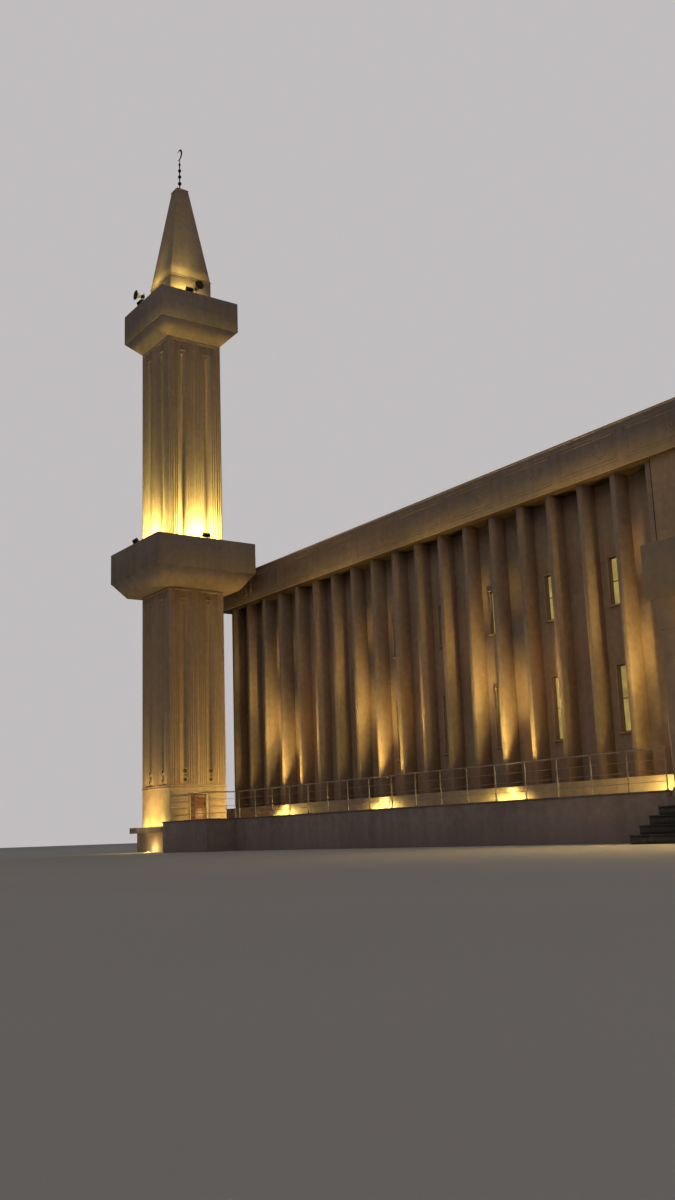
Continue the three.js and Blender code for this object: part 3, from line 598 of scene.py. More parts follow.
def wall_plans():
    """Each ribbed wall in its own frame: its reach, ribs, windows and plinth, then its turns and place."""
    length = ALL_BAYS * PITCH
    wing = np.arange(WING_BAYS + 1) * PITCH
    wing_windows = (np.arange(WING_BAYS // 2) * 2 + 0.5) * PITCH
    ribs = np.arange(ALL_BAYS + 1) * PITCH
    windows = (np.arange((ALL_BAYS + 1) // 2) * 2 + 0.5) * PITCH
    end_ribs = (np.arange(DEPTH_BAYS - 1) + 1) * PITCH
    end_windows = (np.arange(DEPTH_BAYS // 2 - 1) * 2 + 2.5) * PITCH
    wing_end = WING_END + RIB_WIDTH / 2
    left_wing, right_wing = (HALL_LEFT, wing_end), (length - wing_end, HALL_RIGHT)
    right_half, left_half = (HALL_LEFT, BACK_JOINT), (BACK_JOINT, HALL_RIGHT)
    front = (0, (0.0, 0.0))
    back = (2, (length, HALL_DEPTH))
    left = (-1, (HALL_LEFT - RIB_DEPTH, 0.0))
    right = (1, (HALL_RIGHT + RIB_DEPTH, 0.0))
    return {
        "front_wall_left": (left_wing, wing, wing_windows, left_wing, front),
        "front_wall_right": (right_wing, length - wing[::-1], length - wing_windows[::-1], right_wing, front),
        "back_wall_right": (
            right_half, ribs[ribs < BACK_JOINT], windows[windows < BACK_JOINT], right_half, back,
        ),
        "back_wall_left": (
            left_half, ribs[ribs > BACK_JOINT], windows[windows > BACK_JOINT], left_half, back,
        ),
        "left_end_wall": (
            (-HALL_DEPTH + WALL_INNER, -WALL_INNER), end_ribs - HALL_DEPTH, end_windows - HALL_DEPTH,
            (-HALL_DEPTH - PLINTH_PROJECTION, PLINTH_PROJECTION), left,
        ),
        "right_end_wall": (
            (WALL_INNER, HALL_DEPTH - WALL_INNER), end_ribs, end_windows,
            (-PLINTH_PROJECTION, HALL_DEPTH + PLINTH_PROJECTION), right,
        ),
    }


def in_wall(part, turns, place):
    """A part in a wall's own frame, turned by quarters and moved to the wall's place."""
    return shifted(turned(part, 90.0 * turns), *place)


def wall_part(reach, ribs, windows, plinth, chamfer):
    """A pierced wall slab, a plinth and a chamfered rib at each rib line."""
    edges = np.sort(np.concatenate([reach, windows - WINDOW_WIDTH / 2, windows + WINDOW_WIDTH / 2]))
    levels = np.array([0.0, *WINDOW_ROWS["lower"], *WINDOW_ROWS["upper"], RIB_TOP])
    solid = np.ones((len(levels) - 1, len(edges) - 1), bool)
    solid[1::2, 1::2] = False
    slab = pierced_slab(edges, levels, solid, RIB_DEPTH, WALL_INNER)
    rib_back, rib_foot, plinth_chamfer = RIB_DEPTH + 20.0, PLINTH_TOP - 30.0, 14.0
    half = RIB_WIDTH / 2
    rib_rows = [(rib - half, rib + half, 0.0, rib_back, rib_foot, RIB_TOP) for rib in ribs]
    base = boxes([(*plinth, -PLINTH_PROJECTION, rib_back, 0.0, PLINTH_TOP)], plinth_chamfer)
    return joined(slab, boxes(rib_rows, chamfer), base)


def window_parts(windows):
    """For each window, on both storeys: the raised surround and sill, the sash lining, and the pane."""
    stone, sashes, panes = [], [], []
    half, jamb, bar = WINDOW_WIDTH / 2, 28.0, real_size("sash_bar")
    front, back = RIB_DEPTH - 24.0, RIB_DEPTH + 25.0
    sill_front, sill_height, sill_end = front - 50.0, 45.0, 20.0
    edge, deep = PANE_DEPTH - 18.0, WALL_INNER + 12.0
    half_transom, rebate = 14.0, bar - 6.0
    for sill, head in WINDOW_ROWS.values():
        middle = (sill + head) / 2
        for x in windows:
            x0, x1 = x - half, x + half
            stone += [
                (x0 - jamb, x0, front, back, sill, head),
                (x1, x1 + jamb, front, back, sill, head),
                (x0 - jamb, x1 + jamb, front - 6, back, head, head + jamb),
                (x0 - jamb - sill_end, x1 + jamb + sill_end, sill_front, back, sill - sill_height, sill),
            ]
            sashes += [
                (x0, x0 + bar, edge, deep, sill, head),
                (x1 - bar, x1, edge, deep, sill, head),
                (x0, x1, edge, deep, sill, sill + bar),
                (x0, x1, edge, deep, head - bar, head),
                (x0, x1, edge + 6, edge + 50, middle - half_transom, middle + half_transom),
            ]
            panes.append((x0 + rebate, x1 - rebate, PANE_DEPTH, PANE_DEPTH + 12, sill + 30, head - 30))
    return boxes(stone, 6.0), boxes(sashes, 3.0), boxes(panes, 1.0)


class MOSQUE_OT_walls(bpy.types.Operator):
    """Builds the ribbed walls of the hall with their plinths and chamfered ribs"""

    bl_idname = "mosque.walls"
    bl_label = "Ribbed walls"

    def execute(self, context):
        chamfer = real_size("rib_chamfer")
        for name, (reach, ribs, windows, plinth, place) in wall_plans().items():
            part = in_wall(wall_part(reach, ribs, windows, plinth, chamfer), *place)
            add_piece("ribbed_" + name, part, finish("sandstone"), (name,))
        return {"FINISHED"}


class MOSQUE_OT_windows(bpy.types.Operator):
    """Builds the slit windows: surrounds, sills, sash linings and panes"""

    bl_idname = "mosque.windows"
    bl_label = "Slit windows"

    def execute(self, context):
        gathered = {}
        for name, (_, _, windows, _, place) in wall_plans().items():
            stem = "back_wall" if name.startswith("back_wall") else name
            placed = [in_wall(part, *place) for part in window_parts(windows)]
            gathered.setdefault(stem, []).append(placed)
        for stem, groups in gathered.items():
            stone, sashes, panes = (joined(*[group[kind] for group in groups]) for kind in range(3))
            add_piece(stem + "_surrounds", stone, finish("surround"))
            add_piece(stem + "_sashes", sashes, finish("sash"))
            glass = (stem + "_glass_lower", stem + "_glass_upper")
            add_piece(stem + "_panes", panes, finish("glass"), glass)
        return {"FINISHED"}


BAND_RELIEF = (-BAND_OVERHANG - 9.0, -BAND_OVERHANG + 6.0)
BAND_MARGIN = 120.0
FRONT_PANELS = 24
SIDE_PANELS = 9
BAND_STARS = ((190.0, 22.0), (88.0, 18.0))
STAR_PLACE = 0.7


def frame_rows(x0, x1, z0, z1, line):
    """Rows of four bars on the band, a line wide, along the inside of a rectangle in the X-Z plane."""
    return [
        (x0, x1, *BAND_RELIEF, z0, z0 + line), (x0, x1, *BAND_RELIEF, z1 - line, z1),
        (x0, x0 + line, *BAND_RELIEF, z0 + line, z1 - line),
        (x1 - line, x1, *BAND_RELIEF, z0 + line, z1 - line),
    ]


def band_panel(start, end):
    """Raised lines of one panel of the band: a frame, and a smaller one within it."""
    line, margin, gap = 26.0, 130.0, 90.0
    x0, x1 = start + margin, end - margin
    z0, z1 = RIB_TOP + 170.0, BAND_TOP - 190.0
    rows = frame_rows(x0, x1, z0, z1, line) + frame_rows(x0 + gap, x1 - gap, z0 + gap, z1 - gap, line)
    return boxes(rows, 3.0)


def star(radius, line):
    """Two squares of raised lines, one turned by an eighth, that cross in an eight-pointed star."""
    square = boxes(frame_rows(-radius, radius, -radius, radius, line), 3.0)
    return joined(square, turned(square, 45.0, "Y"))


def panel_run(start, length, count):
    """Panels side by side along the band, each with a star and a smaller one within it."""
    width = length / count
    middle = (RIB_TOP + BAND_TOP) / 2 - 10.0
    parts = []
    for index in range(count):
        left = start + index * width
        parts.append(band_panel(left, left + width))
        parts += [shifted(star(*form), left + STAR_PLACE * width, 0.0, middle) for form in BAND_STARS]
    return joined(*parts)


class MOSQUE_OT_parapets(bpy.types.Operator):
    """Builds the band round the roof: its slab, drip edge, coping, a dark plate of painted shade on its
    soffit, and carved panels
    """

    bl_idname = "mosque.parapets"
    bl_label = "Roof band"

    def execute(self, context):
        reach = RIB_DEPTH + BAND_OVERHANG
        low, high = (HALL_LEFT - reach, -BAND_OVERHANG), (HALL_RIGHT + reach, HALL_DEPTH + BAND_OVERHANG)
        profile = [
            (0, RIB_TOP + 14), (0, BAND_TOP - 14), (-14, BAND_TOP), (-186, BAND_TOP), (-200, BAND_TOP - 14),
            (-200, RIB_TOP + 200), (-1056, RIB_TOP + 200), (-1056, RIB_TOP), (-90, RIB_TOP),
            (-90, RIB_TOP + 22), (-60, RIB_TOP + 22), (-60, RIB_TOP), (-14, RIB_TOP),
        ]
        band = rectangle_moulding(profile, low, high)
        nodes = ("parapet_front", "parapet_back", "parapet_left", "parapet_right")
        add_piece("roof_band", band, finish("fascia"), nodes)
        drip = [(8, RIB_TOP + 2), (8, RIB_TOP + 34), (-10, RIB_TOP + 40), (-10, RIB_TOP + 2)]
        coping = [(6, BAND_TOP - 70), (6, BAND_TOP - 6), (-4, BAND_TOP - 2), (-10, BAND_TOP - 76)]
        trim = joined(rectangle_moulding(drip, low, high), rectangle_moulding(coping, low, high))
        add_piece("roof_band_trim", trim, finish("soffit"))
        # painted shade: a thin dark plate over the band's underside stands in for the shade under the
        # overhang
        painted_soffit_shade = [(-16, RIB_TOP - 4), (-16, RIB_TOP + 8), (-1048, RIB_TOP + 8), (-1048, RIB_TOP - 4)]
        soffit = rectangle_moulding(painted_soffit_shade, low, high)
        add_piece("roof_band_painted_shade", soffit, finish("hollow"))

        along, inward = (high[axis] - low[axis] - 2 * BAND_MARGIN for axis in range(2))
        front = panel_run(low[0] + BAND_MARGIN, along, FRONT_PANELS)
        back = shifted(turned(front, 180.0), ALL_BAYS * PITCH, HALL_DEPTH)
        side = panel_run(low[1] + BAND_MARGIN, inward, SIDE_PANELS)
        right = shifted(turned(side, 90.0), HALL_RIGHT + RIB_DEPTH, 0.0)
        left = shifted(turned(side, -90.0), HALL_LEFT - RIB_DEPTH, HALL_DEPTH)
        add_piece("roof_band_panels", joined(front, back, left, right), finish("fascia"))
        return {"FINISHED"}


class MOSQUE_OT_nodes(bpy.types.Operator):
    """Gives the solid pieces that stay their finishes"""

    bl_idname = "mosque.nodes"
    bl_label = "Finishes of the solid pieces"

    KINDS = {
        "sandstone": (
            "portal_wall_left", "portal_wall_right", "portal_wall_head", "minaret_pedestal",
            "minaret_base_front", "minaret_base_back", "minaret_base_left", "minaret_base_beside_hinge",
            "minaret_base_beside_latch", "minaret_base_over_door",
        ),
        "concrete": ("hall_floor", "roof_slab"),
        "steps": ("entrance_sill",),
        "terrace": ("terrace_left", "terrace_right"),
        "paving": ("entrance_landing",),
    }

    def execute(self, context):
        for kind, names in self.KINDS.items():
            for name in names:
                solid = frame["nodes"][name]
                solid.data.materials.clear()
                solid.data.materials.append(finish(kind))
        return {"FINISHED"}


# Terrace, railing and entrance

def coping_run(start, stop, low, high, along_x=True):
    """Coping stones 2.4 m long from one place to another, each from low to high across the run."""
    length, gap = 2400.0, 2.0
    rows = []
    for at in np.arange(start, stop - 1.0, length):
        run = (at + gap, min(at + length, stop) - gap)
        across = (*run, low, high) if along_x else (low, high, *run)
        rows.append((*across, TERRACE_TOP - gap, COPING_TOP))
    return boxes(rows, 8.0)


def paving(x_range, y_range, around_minaret=False):
    """Paving slabs 600 mm square on a rectangle of the deck, without those that would touch the minaret."""
    tile, joint, least, half = 600.0, real_size("paving_joint"), 20.0, SHAFT / 2
    rows = []
    for x in np.arange(x_range[0], x_range[1] - least, tile):
        for y in np.arange(y_range[0], y_range[1] - least, tile):
            x1, y1 = min(x + tile, x_range[1]) - joint, min(y + tile, y_range[1]) - joint
            in_x = x < MINARET[0] + half and x1 > MINARET[0] - half
            in_y = y < MINARET[1] + half and y1 > MINARET[1] - half
            if not (around_minaret and in_x and in_y):
                rows.append((x, x1, y, y1, DECK - 4, DECK + 12))
    return boxes(rows, 4.0)


class MOSQUE_OT_terrace(bpy.types.Operator):
    """Lays the coping on the terrace walls and the paving on the decks"""

    bl_idname = "mosque.terrace"
    bl_label = "Terrace coping and paving"

    def execute(self, context):
        left, right = PLATFORM_X
        lip, end_lip, inner_lip = 30.0, 25.0, 20.0
        wall = (TERRACE_FRONT - lip, TERRACE_FRONT + TERRACE_WALL + inner_lip)
        front = (PLATFORM_FRONT - lip, PLATFORM_FRONT + PLATFORM_WALL + inner_lip)
        left_side = (left - end_lip, left + PLATFORM_WALL + inner_lip)
        right_side = (right - PLATFORM_WALL - inner_lip, right + end_lip)
        end_wall = (TERRACE_END - end_lip, TERRACE_END + TERRACE_WALL + inner_lip)
        with_platform = joined(
            coping_run(right - PLATFORM_WALL, PORTAL_LEFT, *wall),
            coping_run(left - end_lip, right + end_lip, *front),
            coping_run(front[1], wall[1], *left_side, along_x=False),
            coping_run(front[1], wall[0], *right_side, along_x=False),
        )
        plain = joined(
            coping_run(TERRACE_END, PORTAL_LEFT, *wall),
            coping_run(wall[1], -PLINTH_PROJECTION, *end_wall, along_x=False),
        )
        coping = joined(with_platform, flipped(plain))
        # painted shade: the coping's darker render draws the shaded line along the top of the terrace wall
        add_piece("terrace_coping", coping, finish("coping"))

        gap, edge_gap, joint = 10.0, 8.0, real_size("paving_joint")
        deck = (TERRACE_FRONT + TERRACE_WALL + gap, -PLINTH_PROJECTION - joint)
        lower_deck = (TERRACE_FRONT + edge_gap, deck[0] - joint)
        platform = (left + PLATFORM_WALL + gap, right - PLATFORM_WALL - gap)
        left_tiles = joined(
            paving((TERRACE_END + edge_gap, PORTAL_LEFT), deck, around_minaret=True),
            paving((TERRACE_END + edge_gap, left - joint), lower_deck),
            paving(platform, (front[1] + gap, deck[0] - joint)),
        )
        right_tiles = flipped(paving((TERRACE_END + TERRACE_WALL + gap, PORTAL_LEFT), deck))
        add_piece("terrace_paving", joined(left_tiles, right_tiles), finish("paving"))
        return {"FINISHED"}


def rail_run(length, posts):
    """Railing along X from the origin: a rail with caps, three wires, and posts with flanges and clips."""
    top, foot, reach = RAIL_TOP - 20.0, COPING_TOP, 20.0
    radius = real_size("rail_radius")
    rail = bars([(-reach, 0, top)], [(length + reach, 0, top)], radius, 16)
    heights = TERRACE_TOP + (RAIL_TOP - 25.0 - TERRACE_TOP) / (RAIL_WIRES + 1) * np.arange(1, RAIL_WIRES + 1)
    wires = bars([(0, 0, z) for z in heights], [(length, 0, z) for z in heights], real_size("wire_radius"), 8)
    cap = lathe([(radius, 0), (radius - 1, 6), (radius - 6, 12), (radius - 14, 15)], 16)
    flange = lathe([(50, 0), (50, 7), (44, 12), (21, 14), (17, 26)], 20)
    return joined(
        rail, wires,
        shifted(turned(cap, -90.0, "Y"), -reach, 0, top),
        shifted(turned(cap, 90.0, "Y"), length + reach, 0, top),
        bars([(x, 0, foot) for x in posts], [(x, 0, top) for x in posts], real_size("post_radius"), 14),
        *[shifted(flange, x, 0, foot - 1.0) for x in posts],
        boxes([(x - 20, x + 20, -12, 12, z - 12, z + 12) for x in posts for z in heights], 4.0),
    )


class MOSQUE_OT_railing(bpy.types.Operator):
    """Builds the railings of the two terrace walls and of the platform beside the minaret"""

    bl_idname = "mosque.railing"
    bl_label = "Railings"

    def execute(self, context):
        end_gap = 40.0
        runs = {}
        for side, bays in RAIL_BAYS.items():
            length = bays * RAIL_POST_PITCH
            run = rail_run(length, np.arange(bays + 1) * RAIL_POST_PITCH)
            runs[side] = shifted(run, PORTAL_LEFT - end_gap - length, RAIL_Y)
        runs["right"] = flipped(runs["right"])
        x0, x1 = PLATFORM_X[0] + PLATFORM_RAIL_INSET, PLATFORM_X[1] - PLATFORM_RAIL_INSET
        y0 = PLATFORM_FRONT + PLATFORM_RAIL_INSET
        front = shifted(rail_run(x1 - x0, np.array((0.0, 0.5, 1.0)) * (x1 - x0)), x0, y0)
        side = turned(rail_run(RAIL_Y - y0, (RAIL_Y - y0,)), 90.0)
        runs["platform"] = joined(front, shifted(side, x0, y0), shifted(side, x1, y0))
        for name, part in runs.items():
            nodes = ("railing_" + name,)
            add_piece("railing_steel_" + name, part, finish("steel"), nodes, smooth=40)
        return {"FINISHED"}


def bar_places(lines, width):
    """Where a bar on each line starts and ends: the middle ones on the line, the outer ones just inside."""
    starts = np.clip(lines - width / 2, lines[0], lines[-1] - width)
    return [(start, start + width) for start in starts]


def panelled_leaf(width, low, high, thickness, columns, rows):
    """A door leaf in the X-Z plane, from y = 0 to its thickness: stiles, rails and raised fields."""
    rail, inset = 90.0, 112.0
    x_lines = np.linspace(0.0, width, columns + 1)
    z_lines = np.linspace(low, high, rows + 1)
    solid = [(0, width, 12, thickness - 12, low, high)]
    solid += [(*place, 0, thickness, low, high) for place in bar_places(x_lines, rail)]
    solid += [(1, width - 1, 0.5, thickness - 0.5, *place) for place in bar_places(z_lines, rail)]
    for x0, x1 in itertools.pairwise(x_lines):
        for z0, z1 in itertools.pairwise(z_lines):
            solid.append((x0 + inset, x1 - inset, 4, thickness - 4, z0 + inset, z1 - inset))
    return boxes(solid, 5.0)


def canopy_lamp_places():
    """Where the lamps in the canopy's soffit stand, in two rows of three."""
    inset, rows = 1050.0, (-3300.0, -900.0)
    return [(x, y) for x in (PORTAL_LEFT + inset, HALL_MIDDLE, PORTAL_RIGHT - inset) for y in rows]


def canopy_part():
    """The canopy: a fascia ring, the soffit in it, and four raised lines under the soffit."""
    low, high = (PORTAL_LEFT, CANOPY_FRONT), (PORTAL_RIGHT, 0.0)
    bottom, top, inner = CANOPY_BOTTOM, CANOPY_TOP, 190.0
    profile = [
        (0, bottom + 60), (-10, bottom + 52), (-10, bottom + 12), (-22, bottom), (-196, bottom),
        (-200, bottom + 4), (-200, top - 10), (-190, top), (-12, top), (0, top - 12),
    ]
    ring = rectangle_moulding(profile, low, high)
    floor = (low[0] + inner, high[0] - inner, low[1] + inner, high[1] - inner)
    soffit = boxes([(*floor, bottom + 30, bottom + 200)], 3.0)
    inset, line = 420.0, 30.0
    x0, x1, y0, y1 = low[0] + inset, high[0] - inset, low[1] + inset, high[1] - inset
    level = (bottom + 14, bottom + 40)
    lines = boxes([
        (x0, x1, y0, y0 + line, *level), (x0, x1, y1 - line, y1, *level),
        (x0, x0 + line, y0 + line, y1 - line, *level), (x1 - line, x1, y0 + line, y1 - line, *level),
    ], 4.0)
    return joined(ring, soffit, lines)


def column_part():
    """A round column: a moulded foot, a plain shaft and a band under a flared head."""
    height = CANOPY_BOTTOM - DECK
    profile = [
        (1.2, 0), (1.2, 130), (1.17, 142), (1.1, 150), (1.13, 162), (1.13, 178), (1.04, 190), (1.0, 200),
        (1.0, height - 640), (1.05, height - 630), (1.05, height - 600), (1.0, height - 590),
        (1.02, height - 520), (1.06, height - 440), (1.12, height - 340), (1.19, height - 240),
        (1.27, height - 160), (1.34, height - 110), (1.38, height - 90), (1.42, height - 70), (1.42, height),
    ]
    return lathe([(COLUMN_RADIUS * radius, z) for radius, z in profile], 64)


def stairs_part():
    """The steps down from the deck, each a riser under a tread that stands proud of it."""
    tread, nosing = 30.0, 18.0
    rows = []
    for step in range(1, STEPS + 1):
        top = DECK - step * STEP_RISER
        front = TERRACE_FRONT - step * STEP_TREAD
        foot = max(top - STEP_RISER - 20, 0)
        rows.append((PORTAL_LEFT, PORTAL_RIGHT, front + nosing, TERRACE_FRONT + 4, foot, top - tread))
        rows.append((PORTAL_LEFT, PORTAL_RIGHT, front, front + STEP_TREAD + 20, top - tread, top))
    return boxes(rows, 6.0)


class MOSQUE_OT_entrance(bpy.types.Operator):
    """Builds the entrance: canopy, columns, steps, door frame and open leaves"""

    bl_idname = "mosque.entrance"
    bl_label = "Entrance"

    def execute(self, context):
        add_piece("entrance_canopy", canopy_part(), finish("soffit"), ("canopy",))
        flashing = boxes([(PORTAL_LEFT + 4, PORTAL_RIGHT - 4, -26, 6, CANOPY_TOP - 6, CANOPY_TOP + 46)], 5.0)
        add_piece("canopy_flashing", flashing, finish("soffit"))
        lens = lathe([(66, 0), (74, 6), (74, 40)], 24)
        lenses = joined(*[shifted(lens, x, y, CANOPY_BOTTOM + 2) for x, y in canopy_lamp_places()])
        add_piece("canopy_lenses", lenses, finish("lens"))
        wing_end = WING_END + RIB_WIDTH / 2
        # painted shade: a thin dark strip where the last rib meets the portal wall, flush with both, stands
        # in for the shadow line between them
        joint = boxes([(wing_end - 2, wing_end + 20, -5, 6, DECK, RIB_TOP)], 2.0)
        add_piece("portal_painted_shade_lines", joined(joint, flipped(joint)), finish("hollow"))

        column = column_part()
        for name, x in (("left", PORTAL_LEFT + COLUMN_INSET), ("right", PORTAL_RIGHT - COLUMN_INSET)):
            part = shifted(column, x, COLUMN_Y, DECK)
            nodes = ("column_" + name,)
            add_piece("entrance_column_" + name, part, finish("relief"), nodes, smooth=35)
        add_piece("entrance_stairs", stairs_part(), finish("steps"), ("entrance_steps",))
        self.build_doorway()
        return {"FINISHED"}

    def build_doorway(self):
        """The plain frame and the two leaves, which stand open into the hall."""
        (x0, x1), bar = ENTRANCE, 80.0
        front, back = -8.0, 120.0
        frame_part = boxes([
            (x0, x0 + bar, front, back, DECK, ENTRANCE_HEAD),
            (x1 - bar, x1, front, back, DECK, ENTRANCE_HEAD),
            (x0, x1, front, back, ENTRANCE_HEAD - bar, ENTRANCE_HEAD),
        ], 8.0)
        add_piece("entrance_architrave", frame_part, finish("frame"), ("entrance_door_frame",))
        leaf = panelled_leaf((x1 - x0 - 2 * bar) / 2, DECK, ENTRANCE_HEAD - bar, 60.0, 2, 4)
        left = shifted(turned(leaf, 90.0), x0 + bar, back)
        for name, part in (("left", left), ("right", flipped(left))):
            add_piece("entrance_leaf_" + name, part, finish("wood"), ("entrance_door_" + name,))


# Minaret

PANEL_REACH = (0.112, 0.404)
GROOVE_PLACE = 0.27


def face_relief():
    """Depth of the carving across one face of the shaft, as shares of its width: fine lines, a bordered
    panel and a deep groove on one half, and the same mirrored on the other."""
    half = [
        (0.000, 0.028, 0), (0.028, 0.042, 24), (0.042, 0.066, 0), (0.066, 0.082, 24), (0.082, 0.112, 0),
        (0.112, 0.128, 30), (0.128, 0.150, 8), (0.150, 0.166, 44), (0.166, 0.182, 14), (0.182, 0.246, 28),
        (0.246, 0.294, 95), (0.294, 0.334, 28), (0.334, 0.350, 14), (0.350, 0.366, 44), (0.366, 0.388, 8),
        (0.388, 0.404, 30), (0.404, 0.430, 0), (0.430, 0.444, 22), (0.444, 0.460, 0), (0.460, 0.472, 22),
    ]
    other = [(1.0 - end, 1.0 - start, level) for start, end, level in reversed(half)]
    return np.array([*half, (0.472, 0.528, 0), *other], float)


def shaft_part(bottom, top, groove_foot, groove_head):
    """A square tube whose faces follow face_relief across, with plain borders and stopped grooves."""
    bevel, border, flat = 3.0, 90.0, 50.0
    edge_level, panel_level = 30.0, 44.0
    across, depth, panel = [], [], []
    for start, end, level in face_relief():
        across += [start * SHAFT + (bevel if start > 0 else 0.0), end * SHAFT - (bevel if end < 1 else 0.0)]
        depth += [level, level]
        middle = min(start + end, 2.0 - start - end) / 2
        inside = PANEL_REACH[0] < middle < PANEL_REACH[1]
        panel += [inside, inside]
    across, depth, panel = np.array(across[:-1]), np.array(depth[:-1]), np.array(panel[:-1])
    plain = np.zeros_like(depth)
    edged = np.where(panel, edge_level, depth)
    sunk = np.where(panel, np.minimum(depth, panel_level), depth)
    foot, head = bottom + border, top - border
    stops = [
        (bottom, plain), (foot - bevel, plain), (foot + bevel, edged), (foot + flat, edged),
        (foot + flat + 6, sunk), (groove_foot - 4, sunk), (groove_foot + 4, depth),
        (groove_head - 4, depth), (groove_head + 4, sunk), (head - flat - 6, sunk),
        (head - flat, edged), (head - bevel, edged), (head + bevel, plain), (top, plain),
    ]
    levels = np.array([level for level, _ in stops])
    grid = np.array([relief for _, relief in stops])
    half = SHAFT / 2
    u = across - half
    face = np.stack(np.broadcast_arrays(u[None, :], -half + grid, levels[:, None]), axis=-1)
    turns = [np.array(Matrix.Rotation(math.radians(90.0 * quarter), 3, "Z")).T for quarter in range(4)]
    outer = np.concatenate([face @ turn for turn in turns], axis=1)
    shrink = SHAFT_BORE / SHAFT
    uncut = np.stack(np.broadcast_arrays(u[None, :], -half, levels[[-1, 0], None]), axis=-1)
    inner = np.concatenate([uncut @ turn for turn in turns], axis=1) * (shrink, shrink, 1.0)
    return skin(np.concatenate([outer, inner]), closed=True)


def ring_boss(radius, hollow, lift):
    """A round boss in the X-Z plane: a ring with rounded arrises, and the disc at the foot of its hollow."""
    ring = lathe([
        (hollow, -30), (hollow, lift - 8), (hollow + 8, lift), (radius - 14, lift), (radius, lift - 14),
        (radius, -30),
    ], 28, closed=True)
    eye = lathe([(hollow + 3, -26), (hollow + 3, 3)], 28)
    return turned(ring, 90.0, "X"), turned(eye, 90.0, "X")


def rosette(radius, petals, height):
    """A round carved flower in the X-Z plane over a rounded rim. Its outer half rises and spreads with the
    wave 0.6 + 0.4 cos of petals times angle."""
    angle = np.linspace(0.0, 2 * math.pi, petals * 6, endpoint=False)
    share = np.array((0.06, 0.2, 0.35, 0.43, 0.6, 0.75, 0.88, 1.0, 1.0))[:, None]
    lift = np.array((0.75, 0.7, 0.35, 0.3, 1.0, 1.05, 0.8, 0.2, -0.6))[:, None]
    wave = 0.6 + 0.4 * np.cos(petals * angle)
    spread = radius * share * np.where(share > 0.5, 0.86 + 0.14 * wave, 1.0)
    rise = height * lift * np.where(share > 0.5, wave, 1.0)
    rise[-1] = -0.8 * height
    return skin(np.stack([spread * np.cos(angle), -rise, spread * np.sin(angle)], axis=-1))


def wave_moulding(x0, x1, z, lift):
    """A carved line that swings twice, at z + lift cos 2 pi (2 u - 1) where u runs from 0 to 1 along x."""
    width, height = 26.0, 16.0
    u = np.linspace(0.0, 1.0, 40)
    x = x0 + (x1 - x0) * u
    centre = z + lift * np.cos(2 * math.pi * (2 * u - 1.0))
    section = np.array(((-0.5, 0.4), (-0.35, -1.0), (0.35, -1.0), (0.5, 0.4)))
    rings = np.stack(np.broadcast_arrays(
        x[:, None], section[None, :, 1] * height, centre[:, None] + section[None, :, 0] * width,
    ), axis=-1)
    return skin(rings)


def shaft_carvings():
    """The raised carving of one face of both shafts, and the eyes of its bosses, dark with painted shade."""
    half, place = SHAFT / 2, (0.5 - GROOVE_PLACE) * SHAFT
    carved, eyes = [], []
    for x in (-place, place):
        for z, size in ((BASE_TOP + 590.0, 118.0), (BASE_TOP + 270.0, 104.0)):
            ring, eye = ring_boss(size, 0.72 * size, 22.0)
            carved.append(shifted(ring, x, -half + 26.0, z))
            eyes.append(shifted(eye, x, -half + 26.0, z))
        carved.append(shifted(wave_moulding(x - 290.0, x + 290.0, BASE_TOP + 55.0, 14.0), 0.0, -half + 2.0))
        for z in (LOWER_TOP - 400.0, UPPER_TOP - 500.0):
            carved.append(shifted(boxes([(-150, 150, -14, 50, -20, 20)], 5.0), x, -half, z))
            carved.append(shifted(rosette(46.0, 6, 22.0), x, -half + 22.0, z - 180.0))
    for x in (-60.0, 60.0):
        carved.append(shifted(rosette(26.0, 5, 14.0), x, -half, BASE_TOP + 80.0))
    return joined(*carved), joined(*eyes)


class MOSQUE_OT_shafts(bpy.types.Operator):
    """Builds the two carved shafts of the minaret with their rosettes and end bars"""

    bl_idname = "mosque.shafts"
    bl_label = "Carved shafts"

    def execute(self, context):
        floor = LOWER_GALLERY["edge"] + GALLERY_FLOOR
        parts = {
            "lower": shaft_part(BASE_TOP, LOWER_TOP, BASE_TOP + 650.0, LOWER_TOP - 620.0),
            "upper": shaft_part(floor, UPPER_TOP, floor + 700.0, UPPER_TOP - 800.0),
        }
        for name, part in parts.items():
            nodes = ("minaret_shaft_" + name,)
            add_piece("carved_shaft_" + name, on_minaret(part), finish("relief"), nodes)
        carved, eyes = (on_minaret(on_four_sides(part)) for part in shaft_carvings())
        add_piece("shaft_carvings", carved, finish("surround"), smooth=35)
        # painted shade: the discs at the foot of the bosses' hollows take the dark finish that stands in for
        # the shade in them
        add_piece("shaft_rosette_eyes_painted_shade", eyes, finish("hollow"), smooth=35)
        return {"FINISHED"}


def gallery_part(form):
    """A gallery: its tray with rounded arrises and a floor, and the plain corbel that widens up to it."""
    low, high = form["foot"] / 2, form["side"] / 2
    bottom, edge, top, wall = form["bottom"], form["edge"], form["top"], form["wall"]
    bore, floor = SHAFT_BORE / 2, edge + GALLERY_FLOOR
    tray = square_lathe([
        (high - 14, edge), (high, edge + 14), (high, top - 16), (high - 16, top), (high - wall + 16, top),
        (high - wall, top - 16), (high - wall, floor), (bore, floor), (bore, edge),
    ], 14.0, closed=True)
    corbel = square_lathe([
        (low, bottom), (high - 14, edge + 10), (bore, edge + 10), (bore, bottom),
    ], 12.0, closed=True)
    return tray, corbel


